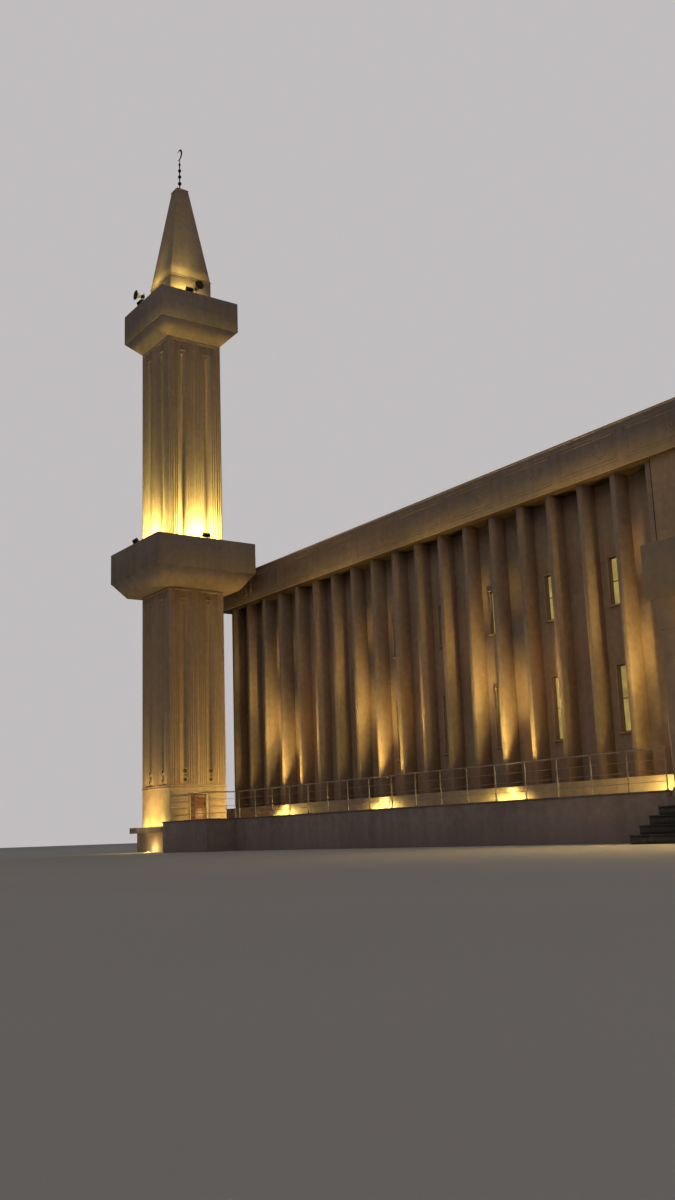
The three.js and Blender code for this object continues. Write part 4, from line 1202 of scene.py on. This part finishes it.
def floodlight_parts():
    """A floodlight on a parapet, facing -y and up, with its foot at the origin: its body, and its lens."""
    tilt, pivot = -38.0, (0.0, 0.0, 120.0)
    yoke = boxes([
        (-60, 60, -45, 45, -2, 10), (-168, 168, -22, 22, 10, 20), (-168, -156, -22, 22, 10, 150),
        (156, 168, -22, 22, 10, 150),
    ], 3.0)
    body = [(-150, 150, -46, 22, 40, 200), (-158, 158, -60, -40, 32, 208)]
    fins = [(x - 4, x + 4, 10, 60, 50, 190) for x in np.linspace(-130.0, 130.0, 9)]
    housing = turned(boxes(body + fins, 5.0), tilt, "X", pivot)
    lens = turned(boxes([(-138, 138, -66, -56, 50, 190)], 4.0), tilt, "X", pivot)
    knobs = bars([(-176, 0, 120), (150, 0, 120)], [(-150, 0, 120), (176, 0, 120)], 14.0, 12)
    return joined(yoke, housing, knobs), lens


def gallery_lamps():
    """Each gallery's name, its form and how far its floodlights stand off the middle of a side."""
    return (
        ("lower", LOWER_GALLERY, 0.0),
        ("upper", UPPER_GALLERY, UPPER_GALLERY["side"] / 8),
    )


class MOSQUE_OT_galleries(bpy.types.Operator):
    """Builds the two galleries with their corbels and floodlights"""

    bl_idname = "mosque.galleries"
    bl_label = "Galleries"

    def execute(self, context):
        body, lens = floodlight_parts()
        for name, form, shift in gallery_lamps():
            tray, corbel = gallery_part(form)
            nodes = (name + "_gallery",)
            add_piece(name + "_tray", on_minaret(tray), finish("fascia"), nodes)
            add_piece(name + "_corbel", on_minaret(corbel), finish("soffit"))
            at = (shift, form["side"] / 2 - form["wall"] / 2, form["top"])
            bodies = on_minaret(on_four_sides(shifted(body, *at)))
            lenses = on_minaret(on_four_sides(shifted(lens, *at)))
            add_piece(name + "_floodlights", bodies, finish("lamp_body"), smooth=30)
            add_piece(name + "_floodlight_lenses", lenses, finish("lens"))
        return {"FINISHED"}


def base_courses():
    """Raised courses of stone on two faces of the base, from the deck up, beside the door and opposite it."""
    half, clear, joint = SHAFT / 2, 90.0, 7.0
    beside = ((-half, DOOR_HINGE - clear), (DOOR_HINGE + DOOR_WIDTH + clear, half))
    heights = (DECK, 1350.0, 1600.0, 1890.0, 2160.0)
    courses = boxes([
        (half - 2, half + 10, y0, y1, z0 + joint, z1 - joint)
        for y0, y1 in beside for z0, z1 in itertools.pairwise(heights)
    ], 4.0)
    return joined(courses, turned(courses, 180.0))


def door_surround():
    """The frame of the minaret's door: jambs, head, a raised architrave and the two blocks of its pivots."""
    face, gap, bar = SHAFT / 2, 12.0, 60.0
    hinge_side, latch_side = DOOR_HINGE - gap, DOOR_HINGE + DOOR_WIDTH + gap
    y0, y1 = hinge_side - bar, latch_side + bar
    top, back, front = DOOR_TOP + gap, face - 90.0, face + 20.0
    pivot = (face - 40, face, hinge_side - 5, DOOR_HINGE + 40)
    return boxes([
        (back, front, y0, hinge_side, DECK, top + bar), (back, front, latch_side, y1, DECK, top + bar),
        (back, front, y0 + 2, y1 - 2, top, top + bar),
        (face + 8, face + 32, y0 - 14, y0 + 20, DECK, top + 74),
        (face + 8, face + 32, y1 - 20, y1 + 14, DECK, top + 74),
        (face + 8, face + 34, y0 - 14, y1 + 14, top + 40, top + 76),
        (*pivot, DECK, DOOR_BOTTOM - 1), (*pivot, DOOR_TOP + 1, top + 5),
    ], 5.0)


def door_leaf():
    """The minaret's door: one board with a groove across it near the top."""
    groove = (DOOR_TOP - 92, DOOR_TOP - 88)
    leaf = boxes([
        (0, DOOR_WIDTH, 0, DOOR_THICKNESS, DOOR_BOTTOM, groove[0]),
        (3, DOOR_WIDTH - 3, 4, DOOR_THICKNESS - 4, groove[0] - 8, groove[1] + 8),
        (0, DOOR_WIDTH, 0, DOOR_THICKNESS, groove[1], DOOR_TOP),
    ], 5.0)
    return shifted(turned(leaf, 90.0), SHAFT / 2, DOOR_HINGE)


def door_handle():
    """A plate and a lever on the leaf's outer face."""
    face, y, z = SHAFT / 2, DOOR_HINGE + DOOR_WIDTH - 55.0, 1700.0
    plate = boxes([(face - 2, face + 6, y - 20, y + 20, z - 140, z + 80)], 3.0)
    starts = [(face + 4, y, z), (face + 40, y + 6, z)]
    ends = [(face + 40, y, z), (face + 40, y - 120, z)]
    return joined(plate, bars(starts, ends, 9.0))


class MOSQUE_OT_base(bpy.types.Operator):
    """Builds the mouldings round the minaret's base, and its door with the frame"""

    bl_idname = "mosque.base"
    bl_label = "Minaret base and door"

    def execute(self, context):
        half = SHAFT / 2
        moulding = square_lathe([
            (half - 4, BASE_TOP - 42), (half + 18, BASE_TOP - 34), (half + 24, BASE_TOP - 16),
            (half + 14, BASE_TOP), (half + 14, BASE_TOP + 14), (half - 4, BASE_TOP + 26),
        ], 10.0)
        add_piece("base_moulding", on_minaret(moulding), finish("relief"))
        add_piece("base_courses", on_minaret(base_courses()), finish("relief"))
        surround, leaf, handle = (on_minaret(part) for part in (door_surround(), door_leaf(), door_handle()))
        add_piece("door_surround", surround, finish("frame"), ("minaret_door_frame",))
        add_piece("door_leaf_wood", leaf, finish("wood"), ("minaret_door",), "door_leaf")
        add_piece("door_handle", handle, finish("bronze"), (), "door_leaf", 40)
        return {"FINISHED"}


def spire_parts():
    """The drum, the spire over it, the lip between them and the cap, by name."""
    drum_half, top_half, wall = DRUM / 2, SPIRE_TOP_SIDE / 2, 120.0
    floor = UPPER_GALLERY["edge"] + GALLERY_FLOOR
    drum = square_lathe([
        (drum_half, floor), (drum_half, DRUM_TOP - 60), (drum_half - 8, DRUM_TOP - 52),
        (drum_half - 8, DRUM_TOP), (drum_half - wall, DRUM_TOP), (drum_half - wall, floor),
    ], 10.0, closed=True)
    share = np.linspace(0.0, 1.0, 9)
    outside = [(drum_half + (top_half - drum_half) * s, DRUM_TOP + (SPIRE_TOP - DRUM_TOP) * s) for s in share]
    inside = [(top_half - 130.0, SPIRE_TOP - 240.0), (drum_half - wall, DRUM_TOP)]
    lip = [
        (drum_half - 14, DRUM_TOP - 26), (drum_half + 20, DRUM_TOP - 20), (drum_half + 20, DRUM_TOP + 16),
        (drum_half - 22, DRUM_TOP + 26),
    ]
    cap = [
        (top_half, SPIRE_TOP), (top_half + 16, SPIRE_TOP + 8), (top_half + 16, SPIRE_TOP + 40),
        (top_half - 10, SPIRE_TOP + 60), (110, CAP_TOP - 50), (60, CAP_TOP - 14), (30, CAP_TOP),
    ]
    return {
        "drum": drum,
        "spire": square_lathe(outside + inside, 12.0, closed=True),
        "lip": square_lathe(lip, 6.0),
        "cap": square_lathe(cap, 8.0),
    }


def finial_rod():
    """The rod of the finial: a foot, beads that each bulge from the rod in an arc, and a neck."""
    neck, reach = CRESCENT_HEIGHT - CRESCENT_RADIUS, 1.25
    angle = np.linspace(-reach, reach, 13)
    foot = [(20, -20), (60, -12), (52, 10), (24, 34), (20, 60)]
    profile = [(radius, CAP_TOP + height) for radius, height in foot]
    for height, radius in FINIAL_BEADS:
        profile.append((30, height - radius - 6))
        profile += zip(radius * np.cos(angle), height + radius * np.sin(angle))
        profile += [(30, height + radius + 6), (20, height + radius + 16)]
    profile += [(16, neck - 20), (26, neck + 20)]
    return lathe(profile, 28)


def crescent():
    """A crescent in the X-Z plane, open to -X: rings across the gap of two circles, thin at its tips."""
    outer, inner = CRESCENT_RADIUS, 0.8 * CRESCENT_RADIUS
    offset = -0.28 * CRESCENT_RADIUS
    thickness, least, tip = 24.0, 0.02, 0.985
    reach = math.acos((outer**2 + offset**2 - inner**2) / (2 * outer * offset))
    angle = np.linspace(-reach, reach, 49) * tip
    a = np.stack([outer * np.cos(angle), outer * np.sin(angle)], axis=-1)
    inner_reach = math.acos((inner**2 + offset**2 - outer**2) / (-2 * inner * offset))
    inner_angle = angle / reach * inner_reach
    b = np.stack([offset + inner * np.cos(inner_angle), inner * np.sin(inner_angle)], axis=-1)
    middle, across = (a + b) / 2, (a - b) / 2
    width = np.linalg.norm(across, axis=1)
    thick = thickness * np.sqrt(np.clip(width / width.max(), least, 1.0))
    turn = np.linspace(0.0, 2 * math.pi, 12, endpoint=False)
    x = middle[:, 0, None] + across[:, 0, None] * np.cos(turn)
    z = middle[:, 1, None] + across[:, 1, None] * np.cos(turn)
    y = thick[:, None] * np.sin(turn)
    return shifted(skin(np.stack([x, y, z], axis=-1)), 0.0, 0.0, CRESCENT_HEIGHT)


class MOSQUE_OT_spire(bpy.types.Operator):
    """Builds the drum, the lip, the spire, its cap and the finial"""

    bl_idname = "mosque.spire"
    bl_label = "Spire and finial"

    def execute(self, context):
        parts = {name: on_minaret(part) for name, part in spire_parts().items()}
        add_piece("spire_drum_render", parts["drum"], finish("relief"), ("spire_drum",))
        add_piece("spire_render", parts["spire"], finish("relief"), ("spire",))
        add_piece("spire_lip", parts["lip"], finish("fascia"))
        add_piece("spire_cap_render", parts["cap"], finish("relief"), ("spire_cap",))
        finial = on_minaret(joined(finial_rod(), crescent()))
        add_piece("finial_metal", finial, finish("bronze"), ("finial",), smooth=50)
        return {"FINISHED"}


def horn_parts():
    """A horn along Z that widens as 52 + 148 s to the power 1.9: its shell, its lining and its driver."""
    flare = np.linspace(0.0, 1.0, 14)
    outer = [(52 + 148 * s**1.9, 150 + 226 * s) for s in flare]
    inner = [(190 * s**1.9 + 12, 210 + 168 * s) for s in flare[::-1]]
    rim = [(204, 378), (206, 384), (200, 388), (192, 384)]
    mouth = [(187 * s**1.9 + 11, 213 + 165 * s) for s in flare]
    back = [(radius - 5, z + 2) for radius, z in mouth[::-1]]
    driver = lathe([(20, 0), (80, 4), (90, 14), (90, 96), (84, 108), (60, 116), (56, 150), (50, 160)], 32)
    plug = lathe([(34, 200), (34, 232), (26, 262), (12, 276), (4, 280)], 20)
    shell, lining = lathe(outer + rim + inner, 40, closed=True), lathe(mouth + back, 40, closed=True)
    return shell, lining, joined(driver, plug)


def horn_bracket():
    """The yoke round the driver, its pole and foot, and the two axles that hold the horn."""
    yoke = boxes([
        (-112, -100, 44, 78, -120, 112), (100, 112, 44, 78, -120, 112), (-112, 112, 44, 78, -132, -120),
        (-24, 24, 40, 84, -140, -128),
    ], 3.0)
    foot = boxes([(-60, 60, 20, 120, -262, -250)], 4.0)
    pole = bars([(0, 60, -255)], [(0, 60, -130)], 16.0, 14)
    axles = bars([(-116, 60, 60), (88, 60, 60)], [(-88, 60, 60), (116, 60, 60)], 12.0)
    return joined(yoke, foot, pole, axles)


class MOSQUE_OT_loudspeakers(bpy.types.Operator):
    """Builds the four horn loudspeakers on the upper gallery"""

    bl_idname = "mosque.loudspeakers"
    bl_label = "Loudspeakers"

    def execute(self, context):
        shift, wall_gap, lift = 150.0, 70.0, 260.0
        y = UPPER_GALLERY["side"] / 2 - UPPER_GALLERY["wall"] / 2 - wall_gap
        at = (shift, y, UPPER_GALLERY["top"] + lift)
        shell, lining, driver = (turned(part, -90.0, "X") for part in horn_parts())
        dark = joined(driver, horn_bracket())
        for quarter, name in enumerate(("back", "left", "front", "right")):
            mouth, horn, bracket = (
                on_minaret(turned(shifted(part, *at), 90.0 * quarter)) for part in (lining, shell, dark)
            )
            nodes = ("loudspeaker_" + name,)
            # painted shade: the horn's lining takes the dark finish that stands in for the shade inside its
            # mouth
            add_piece("horn_mouth_painted_shade_" + name, mouth, finish("hollow"), smooth=40)
            add_piece("horn_" + name, horn, finish("horn"), nodes, smooth=40)
            add_piece("horn_bracket_" + name, bracket, finish("lamp_body"), smooth=40)
        return {"FINISHED"}


# Lamps

def add_lamp(name, kind, at, power, colour, radius=0.02):
    """A small lamp at a point of the real building."""
    light = bpy.data.lights.new(name, kind)
    light.energy = power
    light.color = colour
    light.shadow_soft_size = radius
    lamp = bpy.data.objects.new(name, light)
    lamp.location = (np.array(at) - MIDDLE) * SCALE
    bpy.context.scene.collection.objects.link(lamp)
    return lamp


def point_lamp(name, at, power, colour, radius=0.02):
    """A lamp that shines all round."""
    return add_lamp(name, "POINT", at, power, colour, radius)


def spot_lamp(name, at, towards, power, colour, cone=120.0, blend=1.0):
    """A lamp with a cone in degrees, aimed from one point of the real building at another."""
    lamp = add_lamp(name, "SPOT", at, power, colour)
    lamp.data.spot_size = math.radians(cone)
    lamp.data.spot_blend = blend
    aim = Vector(np.array(towards, float) - np.array(at, float))
    lamp.rotation_mode = "QUATERNION"
    lamp.rotation_quaternion = aim.to_track_quat("-Z", "Y")
    return lamp


def uplight_parts(x):
    """A lamp on the deck: a plinth, a box and a raised rim round its lens, and the lens."""
    half_width, rim, half_depth = 172.0, 26.0, 84.0
    y0, y1 = UPLIGHT_Y - half_depth, UPLIGHT_Y + half_depth
    level = (DECK + 96, DECK + 124)
    body = boxes([
        (x - 168, x + 168, y0 - 4, y1 + 4, DECK - 4, DECK + 40),
        (x - 164, x + 164, y0, y1, DECK + 30, DECK + 118),
        (x - half_width, x + half_width, y0 - 8, y0 + 24, *level),
        (x - half_width, x + half_width, y1 - 24, y1 + 8, *level),
        (x - half_width, x - half_width + rim, y0 + 24, y1 - 24, *level),
        (x + half_width - rim, x + half_width, y0 + 24, y1 - 24, *level),
    ], 4.0)
    return body, boxes([(x - 148, x + 148, y0 + 22, y1 - 22, DECK + 108, DECK + 120)], 3.0)


class MOSQUE_OT_lamps(bpy.types.Operator):
    """Builds the lamp housings on the deck and lights every lamp of the building"""

    bl_idname = "mosque.lamps"
    bl_label = "Lamps"

    def execute(self, context):
        bodies, lenses = zip(*[uplight_parts(x) for x in UPLIGHT_PLACES])
        housing, glow = joined(*bodies), joined(*lenses)
        add_piece("deck_uplights", joined(housing, flipped(housing)), finish("lamp_body"))
        add_piece("deck_uplight_lenses", joined(glow, flipped(glow)), finish("lens"))
        self.light_hall(context.scene.mosque_lamps)
        self.light_galleries(context.scene.mosque_lamps)
        self.light_base(context.scene.mosque_lamps)
        self.light_entrance(context.scene.mosque_lamps)
        return {"FINISHED"}

    def light_hall(self, lamps):
        """Each deck lamp is a wide beam up the wall, two narrow ones to the rib heads, and a glow."""
        reach, head_height = 3300.0, 8900.0
        glow_reach, glow_height = 340.0, BEAM_HEIGHT - 60.0
        for number, left in enumerate((*UPLIGHT_PLACES, ENTRANCE_LAMP)):
            for side, x in (("left", left), ("right", 2 * HALL_MIDDLE - left)):
                at, above = (x, UPLIGHT_Y, BEAM_HEIGHT), (x, UPLIGHT_Y, BEAM_HEIGHT + 1000.0)
                spot_lamp(f"rib_beam_{side}_{number}", at, above, lamps.beam_power, lamps.deck_colour, 100.0)
                for end, sign in (("a", -1.0), ("b", 1.0)):
                    lamp = f"{side}_{number}_{end}"
                    heads = (x + sign * reach, 0.0, head_height)
                    spot_lamp("rib_head_" + lamp, at, heads, lamps.head_power, lamps.deck_colour, 34.0)
                    beside = (x + sign * glow_reach, UPLIGHT_Y, glow_height)
                    glow = "plinth_glow_" + lamp
                    point_lamp(glow, beside, lamps.glow_power, lamps.gallery_colour, GLOW_RADIUS)

    def light_galleries(self, lamps):
        """The lower lamps shine wide on the shaft close by; the upper ones shine up, each with a glow."""
        wall_gap, lift, reach = 120.0, 200.0, 1600.0
        for name, form, shift in gallery_lamps():
            place = np.array((shift, form["side"] / 2 - form["wall"] / 2 - wall_gap, form["top"] + lift))
            for quarter in range(4):
                turn = np.array(Matrix.Rotation(math.radians(90.0 * quarter), 3, "Z"))
                at = turn @ place + MINARET
                if name == "lower":
                    aim = turn @ np.array((shift, 0.0, form["top"] + reach)) + MINARET
                    power, cone, blend = lamps.lower_power, 160.0, 0.3
                else:
                    aim = at + (0.0, 0.0, 1000.0)
                    power, cone, blend = lamps.upper_power, 76.0, 1.0
                lamp = f"{name}_floodlight_{quarter}"
                spot_lamp(lamp, at, aim, power, lamps.gallery_colour, cone, blend)
                if name == "upper":
                    point_lamp(f"upper_glow_{quarter}", at, lamps.upper_glow, lamps.gallery_colour)

    def light_base(self, lamps):
        """The glows and the beam before the base, the light at the wall's foot and the one by the door."""
        x, front = MINARET[0] - 130.0, MINARET[1] - SHAFT / 2
        spacing, glow_gap, glow_lift = 650.0, 290.0, 80.0
        beam_gap, beam_lift, beam_reach = 1200.0, 20.0, 2340.0
        foot_gap, foot_height, side_height = 40.0, 60.0, 1400.0
        for number in range(3):
            glow = (x + (number - 1) * spacing, front - glow_gap, DECK + glow_lift)
            point_lamp(f"base_glow_{number}", glow, lamps.base_glow, lamps.gallery_colour, GLOW_RADIUS)
        beam, aim = (x, front - beam_gap, DECK + beam_lift), (x, front, DECK + beam_reach)
        spot_lamp("base_beam", beam, aim, lamps.base_power, lamps.deck_colour)
        foot = (0.6 * PITCH, TERRACE_FRONT - foot_gap, foot_height)
        point_lamp("wall_foot_light", foot, lamps.foot_power, lamps.deck_colour)
        beside = (UPLIGHT_PLACES[0], UPLIGHT_Y, BEAM_HEIGHT)
        door_side = (MINARET[0] + SHAFT / 2, MINARET[1], side_height)
        spot_lamp("door_side_beam", beside, door_side, lamps.side_power, lamps.deck_colour)

    def light_entrance(self, lamps):
        """A lamp under each lens of the canopy."""
        drop = 14.0
        for number, (x, y) in enumerate(canopy_lamp_places()):
            at, below = (x, y, CANOPY_BOTTOM - drop), (x, y, 0.0)
            spot_lamp(f"canopy_light_{number}", at, below, lamps.canopy_power, lamps.deck_colour, 150.0, 0.4)


# Stage: its places and sizes are in metres, and the camera solved from the photo is turned in degrees

CAMERA_PLACE = (5.978, -15.585, 0.183)
CAMERA_TURN = (101.7141, 1.987, 55.2596)
CAMERA_LENS = 34.07

FLOOR_HALF = 400.0
FLOOR_LEVEL = -0.002
SOFT_LIGHT_SIZE = 18.0
SOFT_LIGHT_AIM = (0.0, 0.0, 5.0)
SOFT_LIGHT_PLACES = {"soft_light": (14.0, -34.0, 24.0), "back_light": (-22.0, 34.0, 24.0)}


class MOSQUE_OT_stage(bpy.types.Operator):
    """Lays the floor, sets the soft studio light and stands the camera where the building is seen from"""

    bl_idname = "mosque.stage"
    bl_label = "Stage"

    def execute(self, context):
        stage = context.scene.mosque_stage
        self.lay_floor(context.scene, stage)
        self.light_studio(context.scene, stage)
        self.stand_camera(context.scene)
        context.scene.view_settings.view_transform = "Standard"
        context.scene.view_settings.look = "None"
        context.scene.view_settings.exposure = stage.exposure
        return {"FINISHED"}

    def lay_floor(self, scene, stage):
        """A plain pale floor, just under the building, with faint broad patches."""
        mesh = bpy.data.meshes.new("floor")
        signs = ((-1, -1), (1, -1), (1, 1), (-1, 1))
        corners = [(FLOOR_HALF * x, FLOOR_HALF * y, FLOOR_LEVEL) for x, y in signs]
        mesh.from_pydata(corners, [], [(0, 1, 2, 3)])
        material, tree, shader, place = start_finish("finish_floor", Roughness=0.85)
        tone = ranged(tree, noise(tree, place, 0.4, 3.0), 0.3, 0.7)
        result = blended(tree, tone, tint(stage.floor, 0.97), tint(stage.floor, 1.03))
        tree.links.new(result, shader.inputs["Base Color"])
        mesh.materials.append(material)
        floor = bpy.data.objects.new("floor", mesh)
        scene.collection.objects.link(floor)

    def light_studio(self, scene, stage):
        """An even sky, which the camera sees as a pale backdrop, and two large soft lights."""
        world = bpy.data.worlds.new("studio")
        world.use_nodes = True
        background = world.node_tree.nodes["Background"]
        background.inputs["Color"].default_value = tint(stage.sky)
        seen = node(world.node_tree, "LightPath").outputs["Is Camera Ray"]
        strength = ranged(world.node_tree, seen, 0.0, 1.0, stage.sky_strength, stage.backdrop)
        world.node_tree.links.new(strength, background.inputs["Strength"])
        scene.world = world
        powers = {"soft_light": stage.soft_power, "back_light": stage.back_power}
        for name, at in SOFT_LIGHT_PLACES.items():
            light = bpy.data.lights.new(name, "AREA")
            light.energy = powers[name]
            light.size = SOFT_LIGHT_SIZE
            light.color = stage.soft_colour
            soft = bpy.data.objects.new(name, light)
            soft.location = at
            soft.rotation_mode = "QUATERNION"
            soft.rotation_quaternion = (Vector(SOFT_LIGHT_AIM) - soft.location).to_track_quat("-Z", "Y")
            scene.collection.objects.link(soft)

    def stand_camera(self, scene):
        """The camera that sees what the photo shows."""
        camera = bpy.data.cameras.new("camera")
        camera.sensor_width = 36.0
        camera.lens = CAMERA_LENS
        camera.clip_end = 1000.0
        eye = bpy.data.objects.new("camera", camera)
        turn = Euler([math.radians(angle) for angle in CAMERA_TURN])
        eye.matrix_world = Matrix.LocRotScale(Vector(CAMERA_PLACE), turn, None)
        scene.collection.objects.link(eye)
        scene.camera = eye


# Settings, panel and start

def colour_setting(label, note, value):
    """A colour that a user can change."""
    return bpy.props.FloatVectorProperty(
        name=label, description=note, default=value, subtype="COLOR", size=3, min=0.0, max=1.0,
    )


def size_setting(label, note, value):
    """A small size of the model, in metres, that a user can change."""
    return bpy.props.FloatProperty(
        name=label, description=note, default=value, min=0.0, precision=4, unit="LENGTH",
    )


class MosqueSizes(bpy.types.PropertyGroup):
    rib_chamfer: size_setting("Rib chamfer", "Width of the cut arris of the ribs", 0.006)
    sash_bar: size_setting("Sash bar", "Width of the bars of the window sashes", 0.019)
    paving_joint: size_setting("Paving joint", "Width of the joints between paving slabs", 0.003)
    rail_radius: size_setting("Rail radius", "Radius of the railing's top rail", 0.0095)
    wire_radius: size_setting("Wire radius", "Radius of the railing's wires", 0.003)
    post_radius: size_setting("Post radius", "Radius of the railing's posts", 0.008)


class MosqueColours(bpy.types.PropertyGroup):
    sandstone: colour_setting("Sandstone render", "Walls, ribs and minaret", (0.48, 0.35, 0.24))
    fascia: colour_setting("Fascia render", "Roof band, canopy and gallery parapets", (0.34, 0.265, 0.213))
    soffit: colour_setting("Soffit render", "Gallery corbels, drip edge and coping", (0.5, 0.37, 0.25))
    terrace: colour_setting("Terrace render", "Retaining wall and paving", (0.38, 0.3, 0.26))
    concrete: colour_setting("Concrete", "Roof and floor slabs", (0.33, 0.29, 0.24))
    steps: colour_setting("Step stone", "Dark stone of the steps", (0.05, 0.04, 0.03))
    steel: colour_setting("Railing steel", "Rails, wires and posts", (0.55, 0.47, 0.38))
    dark_metal: colour_setting("Dark metal", "Finial and lamp housings", (0.03, 0.025, 0.02))
    horn: colour_setting("Horn paint", "Loudspeaker horns", (0.5, 0.47, 0.42))
    door: colour_setting("Door wood", "Minaret door and entrance leaves", (0.2, 0.085, 0.035))
    frame: colour_setting("Frame paint", "Door frames", (0.7, 0.6, 0.4))
    sash: colour_setting("Sash paint", "Window sashes", (0.4, 0.29, 0.13))
    # painted shade: the dark colour that stands in for shade in joints, under the roof band, in the eyes of
    # bosses and in horn mouths
    hollow: colour_setting("Hollows", "Shaded joints, eyes of bosses and horn mouths", (0.09, 0.055, 0.03))
    glass: colour_setting("Window glass", "Tinted panes", (0.1, 0.12, 0.13))
    # painted glow: colour of the light the panes give off for the rooms behind them
    room: colour_setting("Room light", "Light of the rooms behind the panes", (0.36, 0.25, 0.07))


def amount_setting(label, note, value):
    """A brightness that a user can change."""
    return bpy.props.FloatProperty(name=label, description=note, default=value, min=0.0)


def power_setting(label, note, value):
    """A lamp's power that a user can change."""
    return bpy.props.FloatProperty(name=label, description=note, default=value, min=0.0, subtype="POWER")


class MosqueLamps(bpy.types.PropertyGroup):
    # painted glow: how bright the panes glow for the rooms behind them
    painted_room_glow: amount_setting("Room glow", "Light of the panes", 0.8)
    deck_colour: colour_setting("Deck lamps", "Light of the deck's and canopy's lamps", (1.0, 0.7, 0.22))
    gallery_colour: colour_setting("Gallery lamps", "Light of the lamps on the galleries", (1.0, 0.84, 0.25))
    lens_strength: amount_setting("Lens glow", "Brightness of the lenses", 12.0)
    beam_power: power_setting("Rib beams", "Power of each wide beam up the ribs", 105.0)
    head_power: power_setting("Rib head beams", "Power of each narrow beam to the rib heads", 190.0)
    glow_power: power_setting("Plinth glow", "Power of each end of a lamp's glow on the plinth", 12.0)
    side_power: power_setting("Door side beam", "Power of the beam on the door side of the minaret", 90.0)
    lower_power: power_setting("Lower floodlights", "Power of each lamp on the lower gallery", 150.0)
    upper_power: power_setting("Upper floodlights", "Power of each beam on the upper gallery", 40.0)
    upper_glow: power_setting("Upper glow", "Power of the glow of each lamp on the upper gallery", 15.0)
    foot_power: power_setting("Wall foot light", "Power of the lamp at the foot of the wall", 5.0)
    base_power: power_setting("Base beam", "Power of the beam up the minaret's front", 48.0)
    base_glow: power_setting("Base glow", "Power of each of the three glows on the minaret's base", 4.0)
    canopy_power: power_setting("Canopy downlights", "Power of each lamp under the canopy", 70.0)


class MosqueStage(bpy.types.PropertyGroup):
    floor: colour_setting("Floor", "Plain pale floor", (0.62, 0.6, 0.57))
    sky: colour_setting("Studio", "Soft light all round", (0.75, 0.72, 0.73))
    sky_strength: amount_setting("Studio strength", "Light all round", 0.2)
    backdrop: amount_setting("Backdrop", "Brightness of the pale backdrop", 0.71)
    soft_colour: colour_setting("Soft light colour", "Colour of the two large soft lights", (1.0, 0.95, 1.0))
    soft_power: power_setting("Soft light", "Power of the large soft light before the front", 440.0)
    back_power: power_setting("Back light", "Power of the large soft light behind", 700.0)
    exposure: bpy.props.FloatProperty(name="Exposure", description="Stops of exposure", default=0.0)


GROUPS = {
    "mosque_sizes": MosqueSizes,
    "mosque_colours": MosqueColours,
    "mosque_lamps": MosqueLamps,
    "mosque_stage": MosqueStage,
}
OPERATORS = (
    MOSQUE_OT_stage, MOSQUE_OT_nodes, MOSQUE_OT_walls, MOSQUE_OT_windows, MOSQUE_OT_parapets,
    MOSQUE_OT_terrace, MOSQUE_OT_railing, MOSQUE_OT_entrance, MOSQUE_OT_base, MOSQUE_OT_shafts,
    MOSQUE_OT_galleries, MOSQUE_OT_spire, MOSQUE_OT_loudspeakers, MOSQUE_OT_lamps,
)


class MOSQUE_PT_panel(bpy.types.Panel):
    bl_label = "Mosque"
    bl_idname = "MOSQUE_PT_panel"
    bl_space_type = "VIEW_3D"
    bl_region_type = "UI"
    bl_category = "Mosque"

    def draw(self, context):
        for operator in OPERATORS:
            self.layout.operator(operator.bl_idname)
        for group_name, group in GROUPS.items():
            settings = getattr(context.scene, group_name)
            column = self.layout.column()
            for key in group.__annotations__:
                column.prop(settings, key)


def register():
    for group_name, group in GROUPS.items():
        bpy.utils.register_class(group)
        setattr(bpy.types.Scene, group_name, bpy.props.PointerProperty(type=group))
    for operator in OPERATORS:
        bpy.utils.register_class(operator)
    bpy.utils.register_class(MOSQUE_PT_panel)


def unregister():
    bpy.utils.unregister_class(MOSQUE_PT_panel)
    for operator in reversed(OPERATORS):
        bpy.utils.unregister_class(operator)
    for group_name, group in reversed(GROUPS.items()):
        delattr(bpy.types.Scene, group_name)
        bpy.utils.unregister_class(group)


def main():
    register()
    for operator in OPERATORS:
        group, action = operator.bl_idname.split(".")
        getattr(getattr(bpy.ops, group), action)()


if __name__ == "__main__":
    main()
